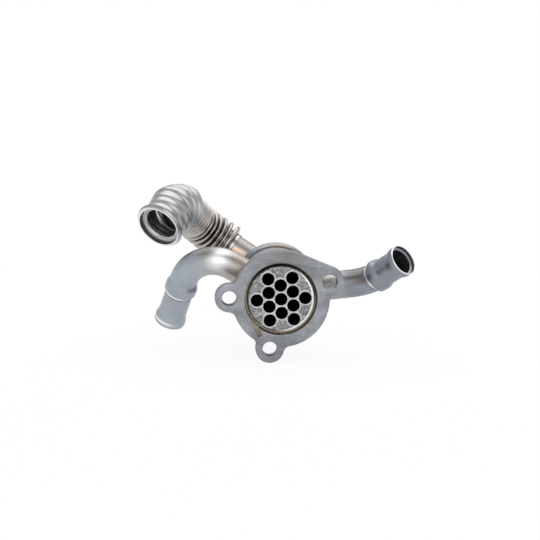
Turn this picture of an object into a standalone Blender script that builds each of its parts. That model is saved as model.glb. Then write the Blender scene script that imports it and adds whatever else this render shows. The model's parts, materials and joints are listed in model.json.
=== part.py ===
"""EGR cooler: a short shell-and-tube exhaust gas cooler with a three-eared flange.

Metres, +Z up. The bundle's axis is the Y axis, and the origin is on that axis in
the plane of the flange's front face, which looks towards -Y. Gas enters at the
flared cup, passes the elbow, the bellows and the bent pipe into the rear cap, and
leaves through the tubes at the flange. Coolant flows round the tubes between the
two coolant pipes.
"""

from math import acos, atan2, cos, pi, radians, sin, sqrt

import bmesh
import bpy
from mathutils import Matrix, Quaternion, Vector

OBJECT_NAME = "egr_cooler"

# Joints between pieces
SEAT_GAP = 0.0003
BRAZE_GAP = 0.00015
EDGE_BREAK = 0.0005

# Gas tubes and the two tube sheets
TUBE_BORE = 0.0079
TUBE_WALL = 0.0003
TUBE_WEB = 0.0003
TUBE_STAND_OUT = 0.0006
BUNDLE_TURN = radians(2.4)
SHEET_WALL = 0.0012
SHEET_RIM = 0.0014
SHEET_CORNER = 0.0016
SHEET_RECESS = 0.0010
SKIRT_DEPTH = 0.0060

# Mounting flange
FLANGE_THICKNESS = 0.0085
BORE_MOAT = 0.0021
FLANGE_LAND = 0.0082
BOLT_CIRCLE_RADIUS = 0.0338
BOLT_HOLE_RADIUS = 0.0048
EAR_RADIUS = 0.0093
EAR_FILLET = 0.0050
EAR_ANGLES = (radians(19.1), radians(178.5), radians(257.4))
SLOT_RADIUS = 0.0015
SLOT_DEPTH = 0.0030
SLOT_START = Vector((-0.0185, -0.0125))
SLOT_END = Vector((-0.0143, -0.0234))

# Shell and rear cap
SHELL_WALL = 0.0015
COOLANT_ROOM = 0.0032
SHELL_LENGTH = 0.0570
SHELL_SEAT = 0.0020
CAP_WALL = 0.0014
CAP_OVERLAP = 0.0105
CAP_SHOULDER = 0.0035
CAP_CONE_LENGTH = 0.0080
CAP_NECK_LENGTH = 0.0045

# Coolant pipes
PIPE_RADIUS = 0.0094
PIPE_WALL = 0.0010
COLLAR_HEIGHT = 0.0014
COLLAR_STEP = 0.0018
COLLAR_CROWN = 0.0034
COLLAR_RUN_OUT = 0.0058
BEAD_HEIGHT = 0.0012
BEAD_LENGTH = 0.0090
BEAD_CREST = 0.0034
LIP_CURL = 0.0002
MOUTH_WALL = 0.0009
MOUTH_DEPTH = 0.0024
MOUTH_STEP = 0.0005

LEFT_DEPTH = 0.0269
LEFT_CLOCK = radians(150.0)
LEFT_LEAD = 0.0119
LEFT_BEND_RADIUS = 0.0225
LEFT_AIM = (radians(126.8), radians(-61.2))
LEFT_TAIL = 0.0356
LEFT_COLLAR_FOOT = 0.0247

RIGHT_DEPTH = 0.0300
RIGHT_CLOCK = radians(5.5)
RIGHT_LEAD = 0.0247
RIGHT_BEND_RADIUS = 0.0270
RIGHT_AIM = (radians(-44.5), radians(32.1))
RIGHT_TAIL = 0.0210
RIGHT_COLLAR_FOOT = 0.0276

# Gas inlet line, from the cap to the cup
GAS_RADIUS = 0.0102
GAS_WALL = 0.0010
NECK_INSERT = 0.0040
GAS_LEAD = 0.0060
GAS_BEND_RADIUS = 0.0200
GAS_AIM = (radians(167.8), radians(32.7))
GAS_RUN = 0.0165

BELLOWS_RADIUS = 0.0153
BELLOWS_LAST_RADIUS = 0.0143
BELLOWS_WALL = 0.0004
BELLOWS_COUNT = 6
BELLOWS_LEAD = 0.0030
WAVE_FOOT = 0.09
WAVE_SHOULDER = 0.21
WAVE_CREST = 0.37
SHOULDER_RISE = 0.76
BELLOWS_BEND_RADIUS = 0.0343
BELLOWS_AIM = (radians(-127.7), radians(33.1))
BELLOWS_CUFF = 0.0018

ELBOW_RADIUS = 0.0139
ELBOW_WALL = 0.0012
ELBOW_LEAD = 0.0112
ELBOW_THROAT = 0.0011
ELBOW_AIM = (radians(-124.0), radians(-28.6))
ELBOW_TAIL = 0.0118
ELBOW_RIBS = 3
RIB_START = 0.0036
RIB_PITCH = 0.0047
RIB_HEIGHT = 0.0015
LAST_RIB_LENGTH = 0.0096
RIB_FULLNESS = 2
RIB_FACETS = 4
ELBOW_SWELL = 0.0023
SWELL_FALL = 0.0042

RING_RADIUS = 0.0122
RING_LENGTH = 0.0010
RING_NECK = 0.0015
RING_RECESS = 0.0040
CUP_WALL = 0.0010
CUP_DEPTH = 0.0072
CUP_COLLAR = 0.0020
LIP_ROUND = 0.0015
LIP_LENGTH = 0.0022

# Facet counts
SHELL_SIDES = 36
TUBE_SIDES = 12
PIPE_SIDES = 16
BELLOWS_SIDES = 16
CUP_SIDES = 28
CHORD_ERROR = 0.00009
BEND_STEP = radians(13.0)
MIN_STATION = 0.0008
FLAT_LIMIT = radians(0.5)

# Sizes that follow from those above
TUBE_RADIUS = TUBE_BORE / 2 + TUBE_WALL
TUBE_HOLE_RADIUS = TUBE_RADIUS + BRAZE_GAP
TUBE_PITCH = 2 * TUBE_HOLE_RADIUS + TUBE_WEB
BUNDLE_RADIUS = sqrt(3) * TUBE_PITCH + TUBE_HOLE_RADIUS
SHEET_RADIUS = BUNDLE_RADIUS + SHEET_RIM
BORE_RADIUS = SHEET_RADIUS + BORE_MOAT
FLANGE_RADIUS = BORE_RADIUS + FLANGE_LAND
SHELL_FRONT = FLANGE_THICKNESS - SHELL_SEAT + SEAT_GAP
SHELL_BACK = SHELL_FRONT + SHELL_LENGTH
SHELL_BORE_RADIUS = SHEET_RADIUS + COOLANT_ROOM
SHELL_RADIUS = SHELL_BORE_RADIUS + SHELL_WALL
REAR_SHEET_RADIUS = SHELL_BORE_RADIUS - SEAT_GAP
REAR_SHEET_FACE = SHELL_BACK - SKIRT_DEPTH
CAP_BORE_RADIUS = SHELL_RADIUS + SEAT_GAP
CAP_FRONT = SHELL_BACK - CAP_OVERLAP
CAP_BACK = SHELL_BACK + CAP_SHOULDER + CAP_CONE_LENGTH + CAP_NECK_LENGTH
COLLAR_LENGTH = COLLAR_STEP + COLLAR_CROWN + COLLAR_RUN_OUT
PIPE_BORE_RADIUS = PIPE_RADIUS - PIPE_WALL
MOUTH_RADIUS = PIPE_RADIUS + BEAD_HEIGHT - MOUTH_WALL
NECK_BORE_RADIUS = GAS_RADIUS + SEAT_GAP
GAS_START = CAP_BACK - NECK_INSERT
ELBOW_BEND_RADIUS = ELBOW_RADIUS + ELBOW_SWELL + RIB_HEIGHT + ELBOW_THROAT

LATTICE_RINGS = ((0, 1, 0.0), (1, 6, pi / 6), (sqrt(3), 6, 0.0))
TURN_TO_Y = (-pi / 2, 0, 0)


def direction(aim):
    """Unit vector of an (azimuth from +X towards +Y, elevation) pair."""
    azimuth, elevation = aim
    flat = cos(elevation)
    return Vector((flat * cos(azimuth), flat * sin(azimuth), sin(elevation)))


def on_clock(radius, angle, depth=0.0):
    """Point at a radius and angle round the bundle's axis, seen from the front."""
    return Vector((radius * cos(angle), depth, radius * sin(angle)))


def make_material(name, color, roughness, metallic):
    material = bpy.data.materials.new(name)
    material.use_nodes = True
    shader = material.node_tree.nodes["Principled BSDF"]
    shader.inputs["Base Color"].default_value = (*color, 1.0)
    shader.inputs["Roughness"].default_value = roughness
    shader.inputs["Metallic"].default_value = metallic
    return material


def make_collection(name):
    collection = bpy.data.collections.new(name)
    bpy.context.scene.collection.children.link(collection)
    return collection


def clear_scene():
    for item in list(bpy.data.objects):
        bpy.data.objects.remove(item, do_unlink=True)


def add_object(name, data, collection, material=None):
    item = bpy.data.objects.new(name, data)
    collection.objects.link(item)
    if material is not None:
        data.materials.append(material)
    return item


def shade_round(item, angle=radians(35)):
    item.data.shade_smooth()
    item.data.set_sharp_from_angle(angle=angle)


def as_mesh(item, flat=False):
    """Replace a curve or modified object by its evaluated mesh, with its seams welded.

    With flat, faces that lie in one plane become one face.
    """
    bpy.context.view_layer.update()
    graph = bpy.context.evaluated_depsgraph_get()
    mesh = bpy.data.meshes.new_from_object(item.evaluated_get(graph))
    working = bmesh.new()
    working.from_mesh(mesh)
    bmesh.ops.remove_doubles(working, verts=working.verts, dist=1e-6)
    if flat:
        bmesh.ops.dissolve_limit(working, angle_limit=FLAT_LIMIT, verts=working.verts, edges=working.edges)
    working.to_mesh(mesh)
    working.free()
    name = item.name
    collection = item.users_collection[0]
    place = item.matrix_world.copy()
    bpy.data.objects.remove(item, do_unlink=True)
    solid = bpy.data.objects.new(name, mesh)
    solid.matrix_world = place
    collection.objects.link(solid)
    return solid


def revolve(name, profile, collection, material, sides):
    """Turn a (radius, depth) profile about the Y axis.

    The profile runs round the section with its outer side first, from the greatest
    depth to the smallest. It is closed, unless both its ends lie on the axis.
    """
    mesh = bpy.data.meshes.new(name)
    points = [(radius, 0.0, depth) for radius, depth in profile]
    loop = [(i, i + 1) for i in range(len(points) - 1)]
    if profile[0][0] > 0:
        loop.append((len(points) - 1, 0))
    mesh.from_pydata(points, loop, [])
    item = add_object(name, mesh, collection, material)
    item.rotation_euler = TURN_TO_Y
    screw = item.modifiers.new("turn", "SCREW")
    screw.steps = sides
    screw.render_steps = sides
    screw.use_merge_vertices = True
    screw.merge_threshold = 0.00001
    screw.use_smooth_shade = True
    return item


def arc(centre, radius, first, last, whole=False):
    """Points of an arc with short chords, without its last point unless it is wanted whole."""
    step = 2 * acos(1 - CHORD_ERROR / radius)
    steps = max(1, round(abs(last - first) / step))
    turn = (last - first) / steps
    return [
        (centre[0] + radius * cos(first + i * turn), centre[1] + radius * sin(first + i * turn))
        for i in range(steps + whole)
    ]


def add_cylinder(name, radius, depth, start, along, collection, sides):
    """Closed cylinder from a start point along a direction."""
    bpy.ops.mesh.primitive_cylinder_add(vertices=sides, radius=radius, depth=depth)
    item = bpy.context.active_object
    item.name = name
    for holder in item.users_collection:
        holder.objects.unlink(item)
    collection.objects.link(item)
    item.rotation_mode = "QUATERNION"
    item.rotation_quaternion = along.to_track_quat("Z", "Y")
    item.location = start + along * (depth / 2)
    return item


def as_cutter(item):
    item.hide_render = True
    item.display_type = "WIRE"
    return item


def cut(item, cutter):
    boolean = item.modifiers.new("cut_" + cutter.name, "BOOLEAN")
    boolean.operation = "DIFFERENCE"
    boolean.solver = "EXACT"
    boolean.object = cutter


class Route:
    """Centre line made of straight runs and round bends, measured by its length."""

    def __init__(self, start, heading):
        self.legs = []
        self.length = 0.0
        self.point = start.copy()
        self.heading = heading.normalized()
        self.across = self.heading.orthogonal().normalized()

    def add_leg(self, length, axis, radius):
        frame = (self.point.copy(), self.heading.copy(), self.across.copy())
        self.legs.append((self.length, length, *frame, axis, radius))
        self.length += length

    def straight(self, length):
        self.add_leg(length, None, 0.0)
        self.point += self.heading * length
        return self.length

    def bend(self, radius, new_heading):
        angle = self.heading.angle(new_heading)
        axis = self.heading.cross(new_heading).normalized()
        self.add_leg(radius * angle, axis, radius)
        self.point, self.heading, self.across = self.frame(self.length)
        return self.length

    def frame(self, distance):
        """Point, heading and a direction across it at a distance from the start."""
        for begin, length, point, heading, across, axis, radius in self.legs:
            if distance <= begin + length + 1e-9:
                break
        along = distance - begin
        if axis is None:
            return point + heading * along, heading.copy(), across.copy()
        angle = along / radius
        inward = axis.cross(heading)
        place = point + heading * radius * sin(angle) + inward * radius * (1 - cos(angle))
        turn = Quaternion(axis, angle)
        return place, turn @ heading, turn @ across

    def stations(self, first, last, named=()):
        """Distances that follow the bends closely between two ends, with the named ones kept."""
        marks = sorted({first, last, *named})
        for begin, length, _point, _heading, _across, axis, radius in self.legs:
            steps = 0 if axis is None else round(length / radius / BEND_STEP)
            for i in range(steps):
                mark = begin + length * i / steps
                if first < mark < last and all(abs(mark - other) > MIN_STATION for other in marks):
                    marks.append(mark)
        return sorted(marks)


def sweep(name, route, outside, inside, collection, material, sides):
    """Pipe wall between two lines of (distance, radius) pairs, turned and bent along a route."""
    profile = [(radius, mark) for mark, radius in (*reversed(outside), *inside)]
    pipe = as_mesh(revolve(name, profile, collection, material, sides))
    for vertex in pipe.data.vertices:
        place, heading, across = route.frame(vertex.co.z)
        vertex.co = place + across * vertex.co.x + heading.cross(across) * vertex.co.y
    pipe.matrix_world = Matrix.Identity(4)
    shade_round(pipe)
    return pipe


def inner_line(outside, wall):
    """The line that lies one even wall inside a line of (distance, radius) pairs."""
    points = [Vector(point) for point in outside]
    runs = [(after - point).normalized() for point, after in zip(points, points[1:])]
    inside = []
    for point, run_in, run_out in zip(points, (runs[0], *runs), (*runs, runs[-1])):
        along = (run_in + run_out).normalized()
        inward = Vector((along.y, -along.x))
        inside.append(tuple(point + inward * (wall / along.dot(run_in))))
    return inside


def ease(share):
    """Smooth rise from 0 to 1 while the share goes from 0 to 1."""
    return (1 - cos(pi * min(1.0, max(0.0, share)))) / 2


def ear_fillets(angle):
    """Angles and centres that join one bolt ear to the flange's body on its two sides."""
    reach = FLANGE_RADIUS + EAR_FILLET
    ear_reach = EAR_RADIUS + EAR_FILLET
    spread = acos((reach**2 + BOLT_CIRCLE_RADIUS**2 - ear_reach**2) / (2 * reach * BOLT_CIRCLE_RADIUS))
    ear = Vector((cos(angle), sin(angle))) * BOLT_CIRCLE_RADIUS
    sides = []
    for turn in (angle - spread, angle + spread):
        centre = Vector((cos(turn), sin(turn))) * reach
        from_ear = centre - ear
        sides.append((turn, centre, atan2(from_ear.y, from_ear.x)))
    return ear, sides


def unwind(angle, after):
    """The same direction as an angle, at or past another angle."""
    while angle < after:
        angle += 2 * pi
    while angle - 2 * pi >= after:
        angle -= 2 * pi
    return angle


def flange_outline():
    """Body circle and three ears: fillets all round, but a straight edge over the first ear."""
    points = []
    straight = EAR_ANGLES[0] + acos((FLANGE_RADIUS - EAR_RADIUS) / BOLT_CIRCLE_RADIUS)
    body_from = straight
    order = (*EAR_ANGLES[1:], EAR_ANGLES[0] + 2 * pi)
    for number, angle in enumerate(order):
        ear, ((turn_in, centre_in, ear_in), (turn_out, centre_out, ear_out)) = ear_fillets(angle)
        points += arc((0, 0), FLANGE_RADIUS, body_from, turn_in)
        points += arc(centre_in, EAR_FILLET, turn_in + pi, unwind(ear_in + pi, turn_in))
        ear_start = unwind(ear_in, angle - pi)
        if number == len(order) - 1:
            points += arc(ear, EAR_RADIUS, ear_start, straight + 2 * pi)
            points.append((ear.x + EAR_RADIUS * cos(straight), ear.y + EAR_RADIUS * sin(straight)))
            continue
        points += arc(ear, EAR_RADIUS, ear_start, unwind(ear_out, ear_start))
        points += arc(centre_out, EAR_FILLET, unwind(ear_out, ear_start) + pi, turn_out + pi)
        body_from = turn_out
    return points


def add_loop(curve, points):
    spline = curve.splines.new("POLY")
    spline.points.add(len(points) - 1)
    for point, place in zip(spline.points, points):
        point.co = (*place, 0.0, 1.0)
    spline.use_cyclic_u = True


def make_flange(parts, cutters, material):
    curve = bpy.data.curves.new("flange", "CURVE")
    curve.dimensions = "2D"
    curve.fill_mode = "BOTH"
    curve.extrude = FLANGE_THICKNESS / 2 - EDGE_BREAK
    curve.bevel_depth = EDGE_BREAK
    curve.bevel_resolution = 0
    curve.offset = -EDGE_BREAK
    add_loop(curve, flange_outline())
    add_loop(curve, arc((0, 0), BORE_RADIUS, 0, 2 * pi))
    for angle in EAR_ANGLES:
        ear = (BOLT_CIRCLE_RADIUS * cos(angle), BOLT_CIRCLE_RADIUS * sin(angle))
        add_loop(curve, arc(ear, BOLT_HOLE_RADIUS, 0, 2 * pi))
    plate = add_object("flange", curve, parts)
    plate.rotation_euler = (pi / 2, 0, 0)
    plate.location = (0, FLANGE_THICKNESS / 2, 0)
    plate = as_mesh(plate)
    plate.data.materials.append(material)
    along = Vector((0, 1, 0))
    seat = add_cylinder(
        "shell_seat",
        SHELL_RADIUS + SEAT_GAP,
        FLANGE_THICKNESS,
        Vector((0, FLANGE_THICKNESS - SHELL_SEAT, 0)),
        along,
        cutters,
        SHELL_SIDES,
    )
    cut(plate, as_cutter(seat))
    cut(plate, make_slot(cutters))
    shade_round(plate)


def make_slot(cutters):
    """Round-ended groove from the bore to a point near the lower ear."""
    run = SLOT_END - SLOT_START
    sideways = atan2(run.y, run.x) - pi / 2
    outline = arc(SLOT_END, SLOT_RADIUS, sideways, sideways + pi)
    outline += arc(SLOT_START, SLOT_RADIUS, sideways + pi, sideways + 2 * pi)
    curve = bpy.data.curves.new("slot", "CURVE")
    curve.dimensions = "2D"
    curve.fill_mode = "BOTH"
    curve.extrude = SLOT_DEPTH
    add_loop(curve, outline)
    slot = add_object("slot", curve, cutters)
    slot.rotation_euler = (pi / 2, 0, 0)
    return as_cutter(as_mesh(slot))


def tube_places():
    """Centres of the tubes, as (x, z) pairs: one, and six on each of two circles."""
    places = []
    for circle, count, first in LATTICE_RINGS:
        for i in range(count):
            angle = BUNDLE_TURN + first + i * 2 * pi / count
            places.append((circle * TUBE_PITCH * cos(angle), circle * TUBE_PITCH * sin(angle)))
    return places


def make_sheet(name, radius, face, back, foot_radius, cutter, parts, material):
    """Pressed dish with a rounded rim and a skirt that runs back to its seat."""
    centre = (radius - SHEET_CORNER, face + SHEET_CORNER)
    profile = [(0.0, face + SHEET_WALL)]
    profile += arc(centre, SHEET_CORNER - SHEET_WALL, -pi / 2, 0, whole=True)
    profile += [(radius - SHEET_WALL, back)]
    if foot_radius > radius:
        profile += [(foot_radius, back), (foot_radius, back - SHEET_WALL), (radius, back - SHEET_WALL)]
    else:
        profile += [(radius, back)]
    profile += arc(centre, SHEET_CORNER, 0, -pi / 2, whole=True)
    profile += [(0.0, face)]
    sheet = as_mesh(revolve(name, profile, parts, material, SHELL_SIDES), flat=True)
    cut(sheet, cutter)
    shade_round(sheet)


def make_tube_holes(cutters):
    """One cutter with a rod for each tube."""
    mesh = bpy.data.meshes.new("tube_holes")
    working = bmesh.new()
    for x, z in tube_places():
        bmesh.ops.create_cone(
            working,
            cap_ends=True,
            segments=TUBE_SIDES,
            radius1=TUBE_HOLE_RADIUS,
            radius2=TUBE_HOLE_RADIUS,
            depth=2 * SHELL_BACK,
            matrix=Matrix.Translation((x, SHELL_BACK / 2, z)) @ Matrix.Rotation(-pi / 2, 4, "X"),
        )
    working.to_mesh(mesh)
    working.free()
    return as_cutter(add_object("tube_holes", mesh, cutters))


def make_tubes(parts, material):
    front = SHEET_RECESS - TUBE_STAND_OUT
    back = REAR_SHEET_FACE + SHEET_WALL + TUBE_STAND_OUT
    bore = TUBE_BORE / 2
    profile = [(TUBE_RADIUS, back), (TUBE_RADIUS, front), (bore, front), (bore, back)]
    first = as_mesh(revolve("gas_tube_01", profile, parts, material, TUBE_SIDES))
    shade_round(first)
    for number, (x, z) in enumerate(tube_places()[1:], start=2):
        tube = bpy.data.objects.new(f"gas_tube_{number:02d}", first.data)
        tube.rotation_euler = TURN_TO_Y
        tube.location = (x, 0, z)
        parts.objects.link(tube)


def make_shell(parts, cutters, material):
    profile = [
        (SHELL_RADIUS, SHELL_BACK),
        (SHELL_RADIUS, SHELL_FRONT),
        (SHELL_BORE_RADIUS, SHELL_FRONT),
        (SHELL_BORE_RADIUS, SHELL_BACK),
    ]
    shell = as_mesh(revolve("shell", profile, parts, material, SHELL_SIDES))
    for name, clock, depth in (("left", LEFT_CLOCK, LEFT_DEPTH), ("right", RIGHT_CLOCK, RIGHT_DEPTH)):
        port = add_cylinder(
            name + "_port",
            PIPE_RADIUS - PIPE_WALL,
            2 * PIPE_RADIUS,
            on_clock(SHELL_BORE_RADIUS - PIPE_RADIUS, clock, depth),
            on_clock(1, clock),
            cutters,
            PIPE_SIDES,
        )
        cut(shell, as_cutter(port))
    shade_round(shell)


def make_rear_cap(parts, material):
    """Pressed hood: a skirt over the shell, a round shoulder, a cone and a neck."""
    skirt = CAP_BORE_RADIUS + CAP_WALL
    neck = NECK_BORE_RADIUS + CAP_WALL
    neck_front = CAP_BACK - CAP_NECK_LENGTH
    centre = (skirt - CAP_SHOULDER, SHELL_BACK)
    profile = [(neck, CAP_BACK), (neck, neck_front)]
    profile += arc(centre, CAP_SHOULDER, pi / 2, 0, whole=True)
    profile += [(skirt, CAP_FRONT), (CAP_BORE_RADIUS, CAP_FRONT)]
    profile += arc(centre, CAP_SHOULDER - CAP_WALL, 0, pi / 2, whole=True)
    profile += [(NECK_BORE_RADIUS, neck_front), (NECK_BORE_RADIUS, CAP_BACK)]
    shade_round(as_mesh(revolve("rear_cap", profile, parts, material, SHELL_SIDES)))


def collar_height(from_foot):
    """Height of a stop collar: a short step at its foot, a crown and a long run-out."""
    return COLLAR_HEIGHT * ease(from_foot / COLLAR_STEP) * ease((COLLAR_LENGTH - from_foot) / COLLAR_RUN_OUT)


def bead_height(from_end):
    """Height of the end bead: a long rise to its crest, and a slightly curled lip."""
    if from_end > BEAD_CREST:
        return BEAD_HEIGHT * ease((BEAD_LENGTH - from_end) / (BEAD_LENGTH - BEAD_CREST))
    return BEAD_HEIGHT - LIP_CURL * (1 - from_end / BEAD_CREST) ** 2


def coolant_route(clock, depth, lead, bend, aim, tail):
    start = sqrt(SHELL_RADIUS**2 - PIPE_RADIUS**2) - SEAT_GAP
    route = Route(on_clock(start, clock, depth), on_clock(1, clock))
    route.straight(lead)
    route.bend(bend, direction(aim))
    route.straight(tail)
    return route


def make_coolant_pipe(name, route, foot, side, parts, envelope, material):
    """Bent pipe with a stop collar and an end bead whose mouth is wider than the bore.

    The foot is where the collar's step lies, measured from the pipe's end, and the
    side is 1 where the collar rises towards the shell and -1 where it rises towards
    the end.
    """
    end = route.length
    run_out = COLLAR_LENGTH - COLLAR_RUN_OUT / 2
    collar = (0, COLLAR_STEP / 2, COLLAR_STEP, COLLAR_STEP + COLLAR_CROWN, run_out, COLLAR_LENGTH)
    from_end = [foot + side * distance for distance in collar]
    from_end += [BEAD_LENGTH, (BEAD_LENGTH + BEAD_CREST) / 2, BEAD_CREST]
    marks = route.stations(0, end, [end - distance for distance in from_end])
    outside = []
    for mark in marks:
        height = collar_height((end - mark - foot) * side) + bead_height(end - mark)
        outside.append((mark, PIPE_RADIUS + height))
    bead = end - BEAD_LENGTH
    inside = [point for point in inner_line(outside, PIPE_WALL) if point[0] < bead]
    inside += [(bead, PIPE_BORE_RADIUS), (end - MOUTH_DEPTH - MOUTH_STEP, PIPE_BORE_RADIUS)]
    inside += [(end - MOUTH_DEPTH, MOUTH_RADIUS), (end, MOUTH_RADIUS)]
    cut(sweep(name, route, outside, inside, parts, material, PIPE_SIDES), envelope)


def gas_route():
    """Centre line from the cap's neck to the cup, with the distances where pieces meet."""
    route = Route(Vector((0, GAS_START, 0)), Vector((0, 1, 0)))
    marks = {}
    route.straight(GAS_LEAD)
    route.bend(GAS_BEND_RADIUS, direction(GAS_AIM))
    marks["gas_end"] = route.straight(GAS_RUN)
    marks["first_wave"] = route.straight(BELLOWS_CUFF)
    route.straight(BELLOWS_LEAD)
    marks["last_wave"] = route.bend(BELLOWS_BEND_RADIUS, direction(BELLOWS_AIM))
    marks["bellows_end"] = route.straight(BELLOWS_CUFF)
    marks["first_rib"] = route.straight(ELBOW_LEAD) + RIB_START
    route.bend(ELBOW_BEND_RADIUS, direction(ELBOW_AIM))
    marks["elbow_end"] = route.straight(ELBOW_TAIL)
    marks["mouth"] = route.straight(RING_RECESS)
    return route, marks


def make_gas_pipe(route, marks, parts, material):
    outside = [(mark, GAS_RADIUS) for mark in route.stations(0, marks["first_wave"] - SEAT_GAP)]
    sweep("gas_pipe", route, outside, inner_line(outside, GAS_WALL), parts, material, PIPE_SIDES)


def make_bellows(route, marks, parts, material):
    """Thin wall folded into full, round-shouldered waves between two plain cuffs."""
    first, last = marks["first_wave"], marks["last_wave"]
    pitch = (last - first) / BELLOWS_COUNT
    root = GAS_RADIUS + SEAT_GAP + BELLOWS_WALL
    cuff = ELBOW_RADIUS - ELBOW_WALL - SEAT_GAP
    narrowing = BELLOWS_RADIUS - BELLOWS_LAST_RADIUS
    half = ((WAVE_FOOT, 0), (WAVE_SHOULDER, SHOULDER_RISE), (WAVE_CREST, 1))
    wave = (*half, *((1 - share, height) for share, height in reversed(half)))
    outside = [(marks["gas_end"], root)]
    for number in range(BELLOWS_COUNT):
        rise = BELLOWS_RADIUS - root - narrowing * number / (BELLOWS_COUNT - 1)
        outside += [(first + (number + share) * pitch, root + rise * height) for share, height in wave]
    outside += [(last, cuff), (marks["bellows_end"], cuff)]
    sweep("bellows", route, outside, inner_line(outside, BELLOWS_WALL), parts, material, BELLOWS_SIDES)


def make_elbow(route, marks, parts, material):
    """Bent pipe with a few ribs, a broad last rib and a necked ring at its mouth."""
    first, end = marks["first_rib"], marks["elbow_end"]
    neck = end - RING_LENGTH - RING_NECK
    ribs = [RIB_PITCH] * ELBOW_RIBS + [LAST_RIB_LENGTH]
    swell_end = RIB_PITCH * ELBOW_RIBS + SWELL_FALL
    outside = [(marks["last_wave"] + SEAT_GAP, ELBOW_RADIUS), (first, ELBOW_RADIUS)]
    done = 0.0
    for length in ribs:
        for number in range(RIB_FACETS):
            share = (number + 1) / RIB_FACETS
            along = done + share * length
            valley = ((1 + cos(2 * pi * share)) / 2) ** RIB_FULLNESS
            swell = ELBOW_SWELL * ease((swell_end - along) / SWELL_FALL)
            outside.append((first + along, ELBOW_RADIUS + swell + RIB_HEIGHT * (1 - valley)))
        done += length
    outside += [(neck, ELBOW_RADIUS), (end - RING_LENGTH, RING_RADIUS), (end, RING_RADIUS)]
    sweep("elbow", route, outside, inner_line(outside, ELBOW_WALL), parts, material, BELLOWS_SIDES)


def make_cup(route, marks, parts, material):
    """Mouth with a round lip, whose collar sits on the elbow's tail behind its ring."""
    bore = ELBOW_RADIUS + SEAT_GAP
    outside = bore + 2 * LIP_ROUND
    profile = [
        (bore + CUP_WALL, CUP_DEPTH),
        (bore + CUP_WALL, CUP_DEPTH - CUP_COLLAR),
        (outside, LIP_LENGTH),
    ]
    profile += arc((bore + LIP_ROUND, LIP_ROUND), LIP_ROUND, 0, -pi, whole=True)
    profile += [(bore, CUP_DEPTH)]
    place, heading, _across = route.frame(marks["mouth"])
    cup = revolve("inlet_cup", profile, parts, material, CUP_SIDES)
    cup.rotation_mode = "QUATERNION"
    cup.rotation_quaternion = (-heading).to_track_quat("Z", "Y")
    cup.location = place
    shade_round(as_mesh(cup))


def main():
    clear_scene()
    parts = make_collection(OBJECT_NAME)
    cutter_set = make_collection("cutters")
    plate = make_material("plate_steel", (0.42, 0.43, 0.45), 0.40, 1.0)
    pipe = make_material("pipe_steel", (0.52, 0.54, 0.57), 0.32, 1.0)
    bright = make_material("bright_steel", (0.66, 0.66, 0.66), 0.22, 1.0)
    braze = make_material("brazed_steel", (0.60, 0.60, 0.61), 0.45, 1.0)

    make_flange(parts, cutter_set, plate)
    holes = make_tube_holes(cutter_set)
    make_sheet(
        "front_tube_sheet",
        SHEET_RADIUS,
        SHEET_RECESS,
        SHEET_RECESS + SKIRT_DEPTH,
        BORE_RADIUS - SEAT_GAP,
        holes,
        parts,
        braze,
    )
    make_sheet(
        "rear_tube_sheet", REAR_SHEET_RADIUS, REAR_SHEET_FACE, SHELL_BACK, 0.0, holes, parts, braze
    )
    make_tubes(parts, bright)
    make_shell(parts, cutter_set, pipe)
    make_rear_cap(parts, pipe)

    envelope = add_cylinder(
        "shell_envelope",
        SHELL_RADIUS + SEAT_GAP,
        SHELL_LENGTH,
        Vector((0, SHELL_FRONT, 0)),
        Vector((0, 1, 0)),
        cutter_set,
        SHELL_SIDES,
    )
    as_cutter(envelope)
    left = coolant_route(LEFT_CLOCK, LEFT_DEPTH, LEFT_LEAD, LEFT_BEND_RADIUS, LEFT_AIM, LEFT_TAIL)
    make_coolant_pipe("left_coolant_pipe", left, LEFT_COLLAR_FOOT, 1, parts, envelope, pipe)
    right = coolant_route(RIGHT_CLOCK, RIGHT_DEPTH, RIGHT_LEAD, RIGHT_BEND_RADIUS, RIGHT_AIM, RIGHT_TAIL)
    make_coolant_pipe("right_coolant_pipe", right, RIGHT_COLLAR_FOOT, -1, parts, envelope, pipe)

    route, marks = gas_route()
    make_gas_pipe(route, marks, parts, pipe)
    make_bellows(route, marks, parts, bright)
    make_elbow(route, marks, parts, bright)
    make_cup(route, marks, parts, bright)


if __name__ == "__main__":
    main()
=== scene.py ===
"""Dressed view of an EGR cooler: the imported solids, finished with finely made pieces.

The flange faces -Y and the tube bundle's axis is the Y axis. Every piece is made in
the frame's own place and size, so it lies where the solid it stands for lies.
"""

import json
from math import acos, atan2, cos, hypot, pi, radians, sin, sqrt

import bmesh
import bpy
from bpy.props import FloatProperty, FloatVectorProperty, IntProperty, PointerProperty
from mathutils import Matrix, Quaternion, Vector, noise

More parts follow.
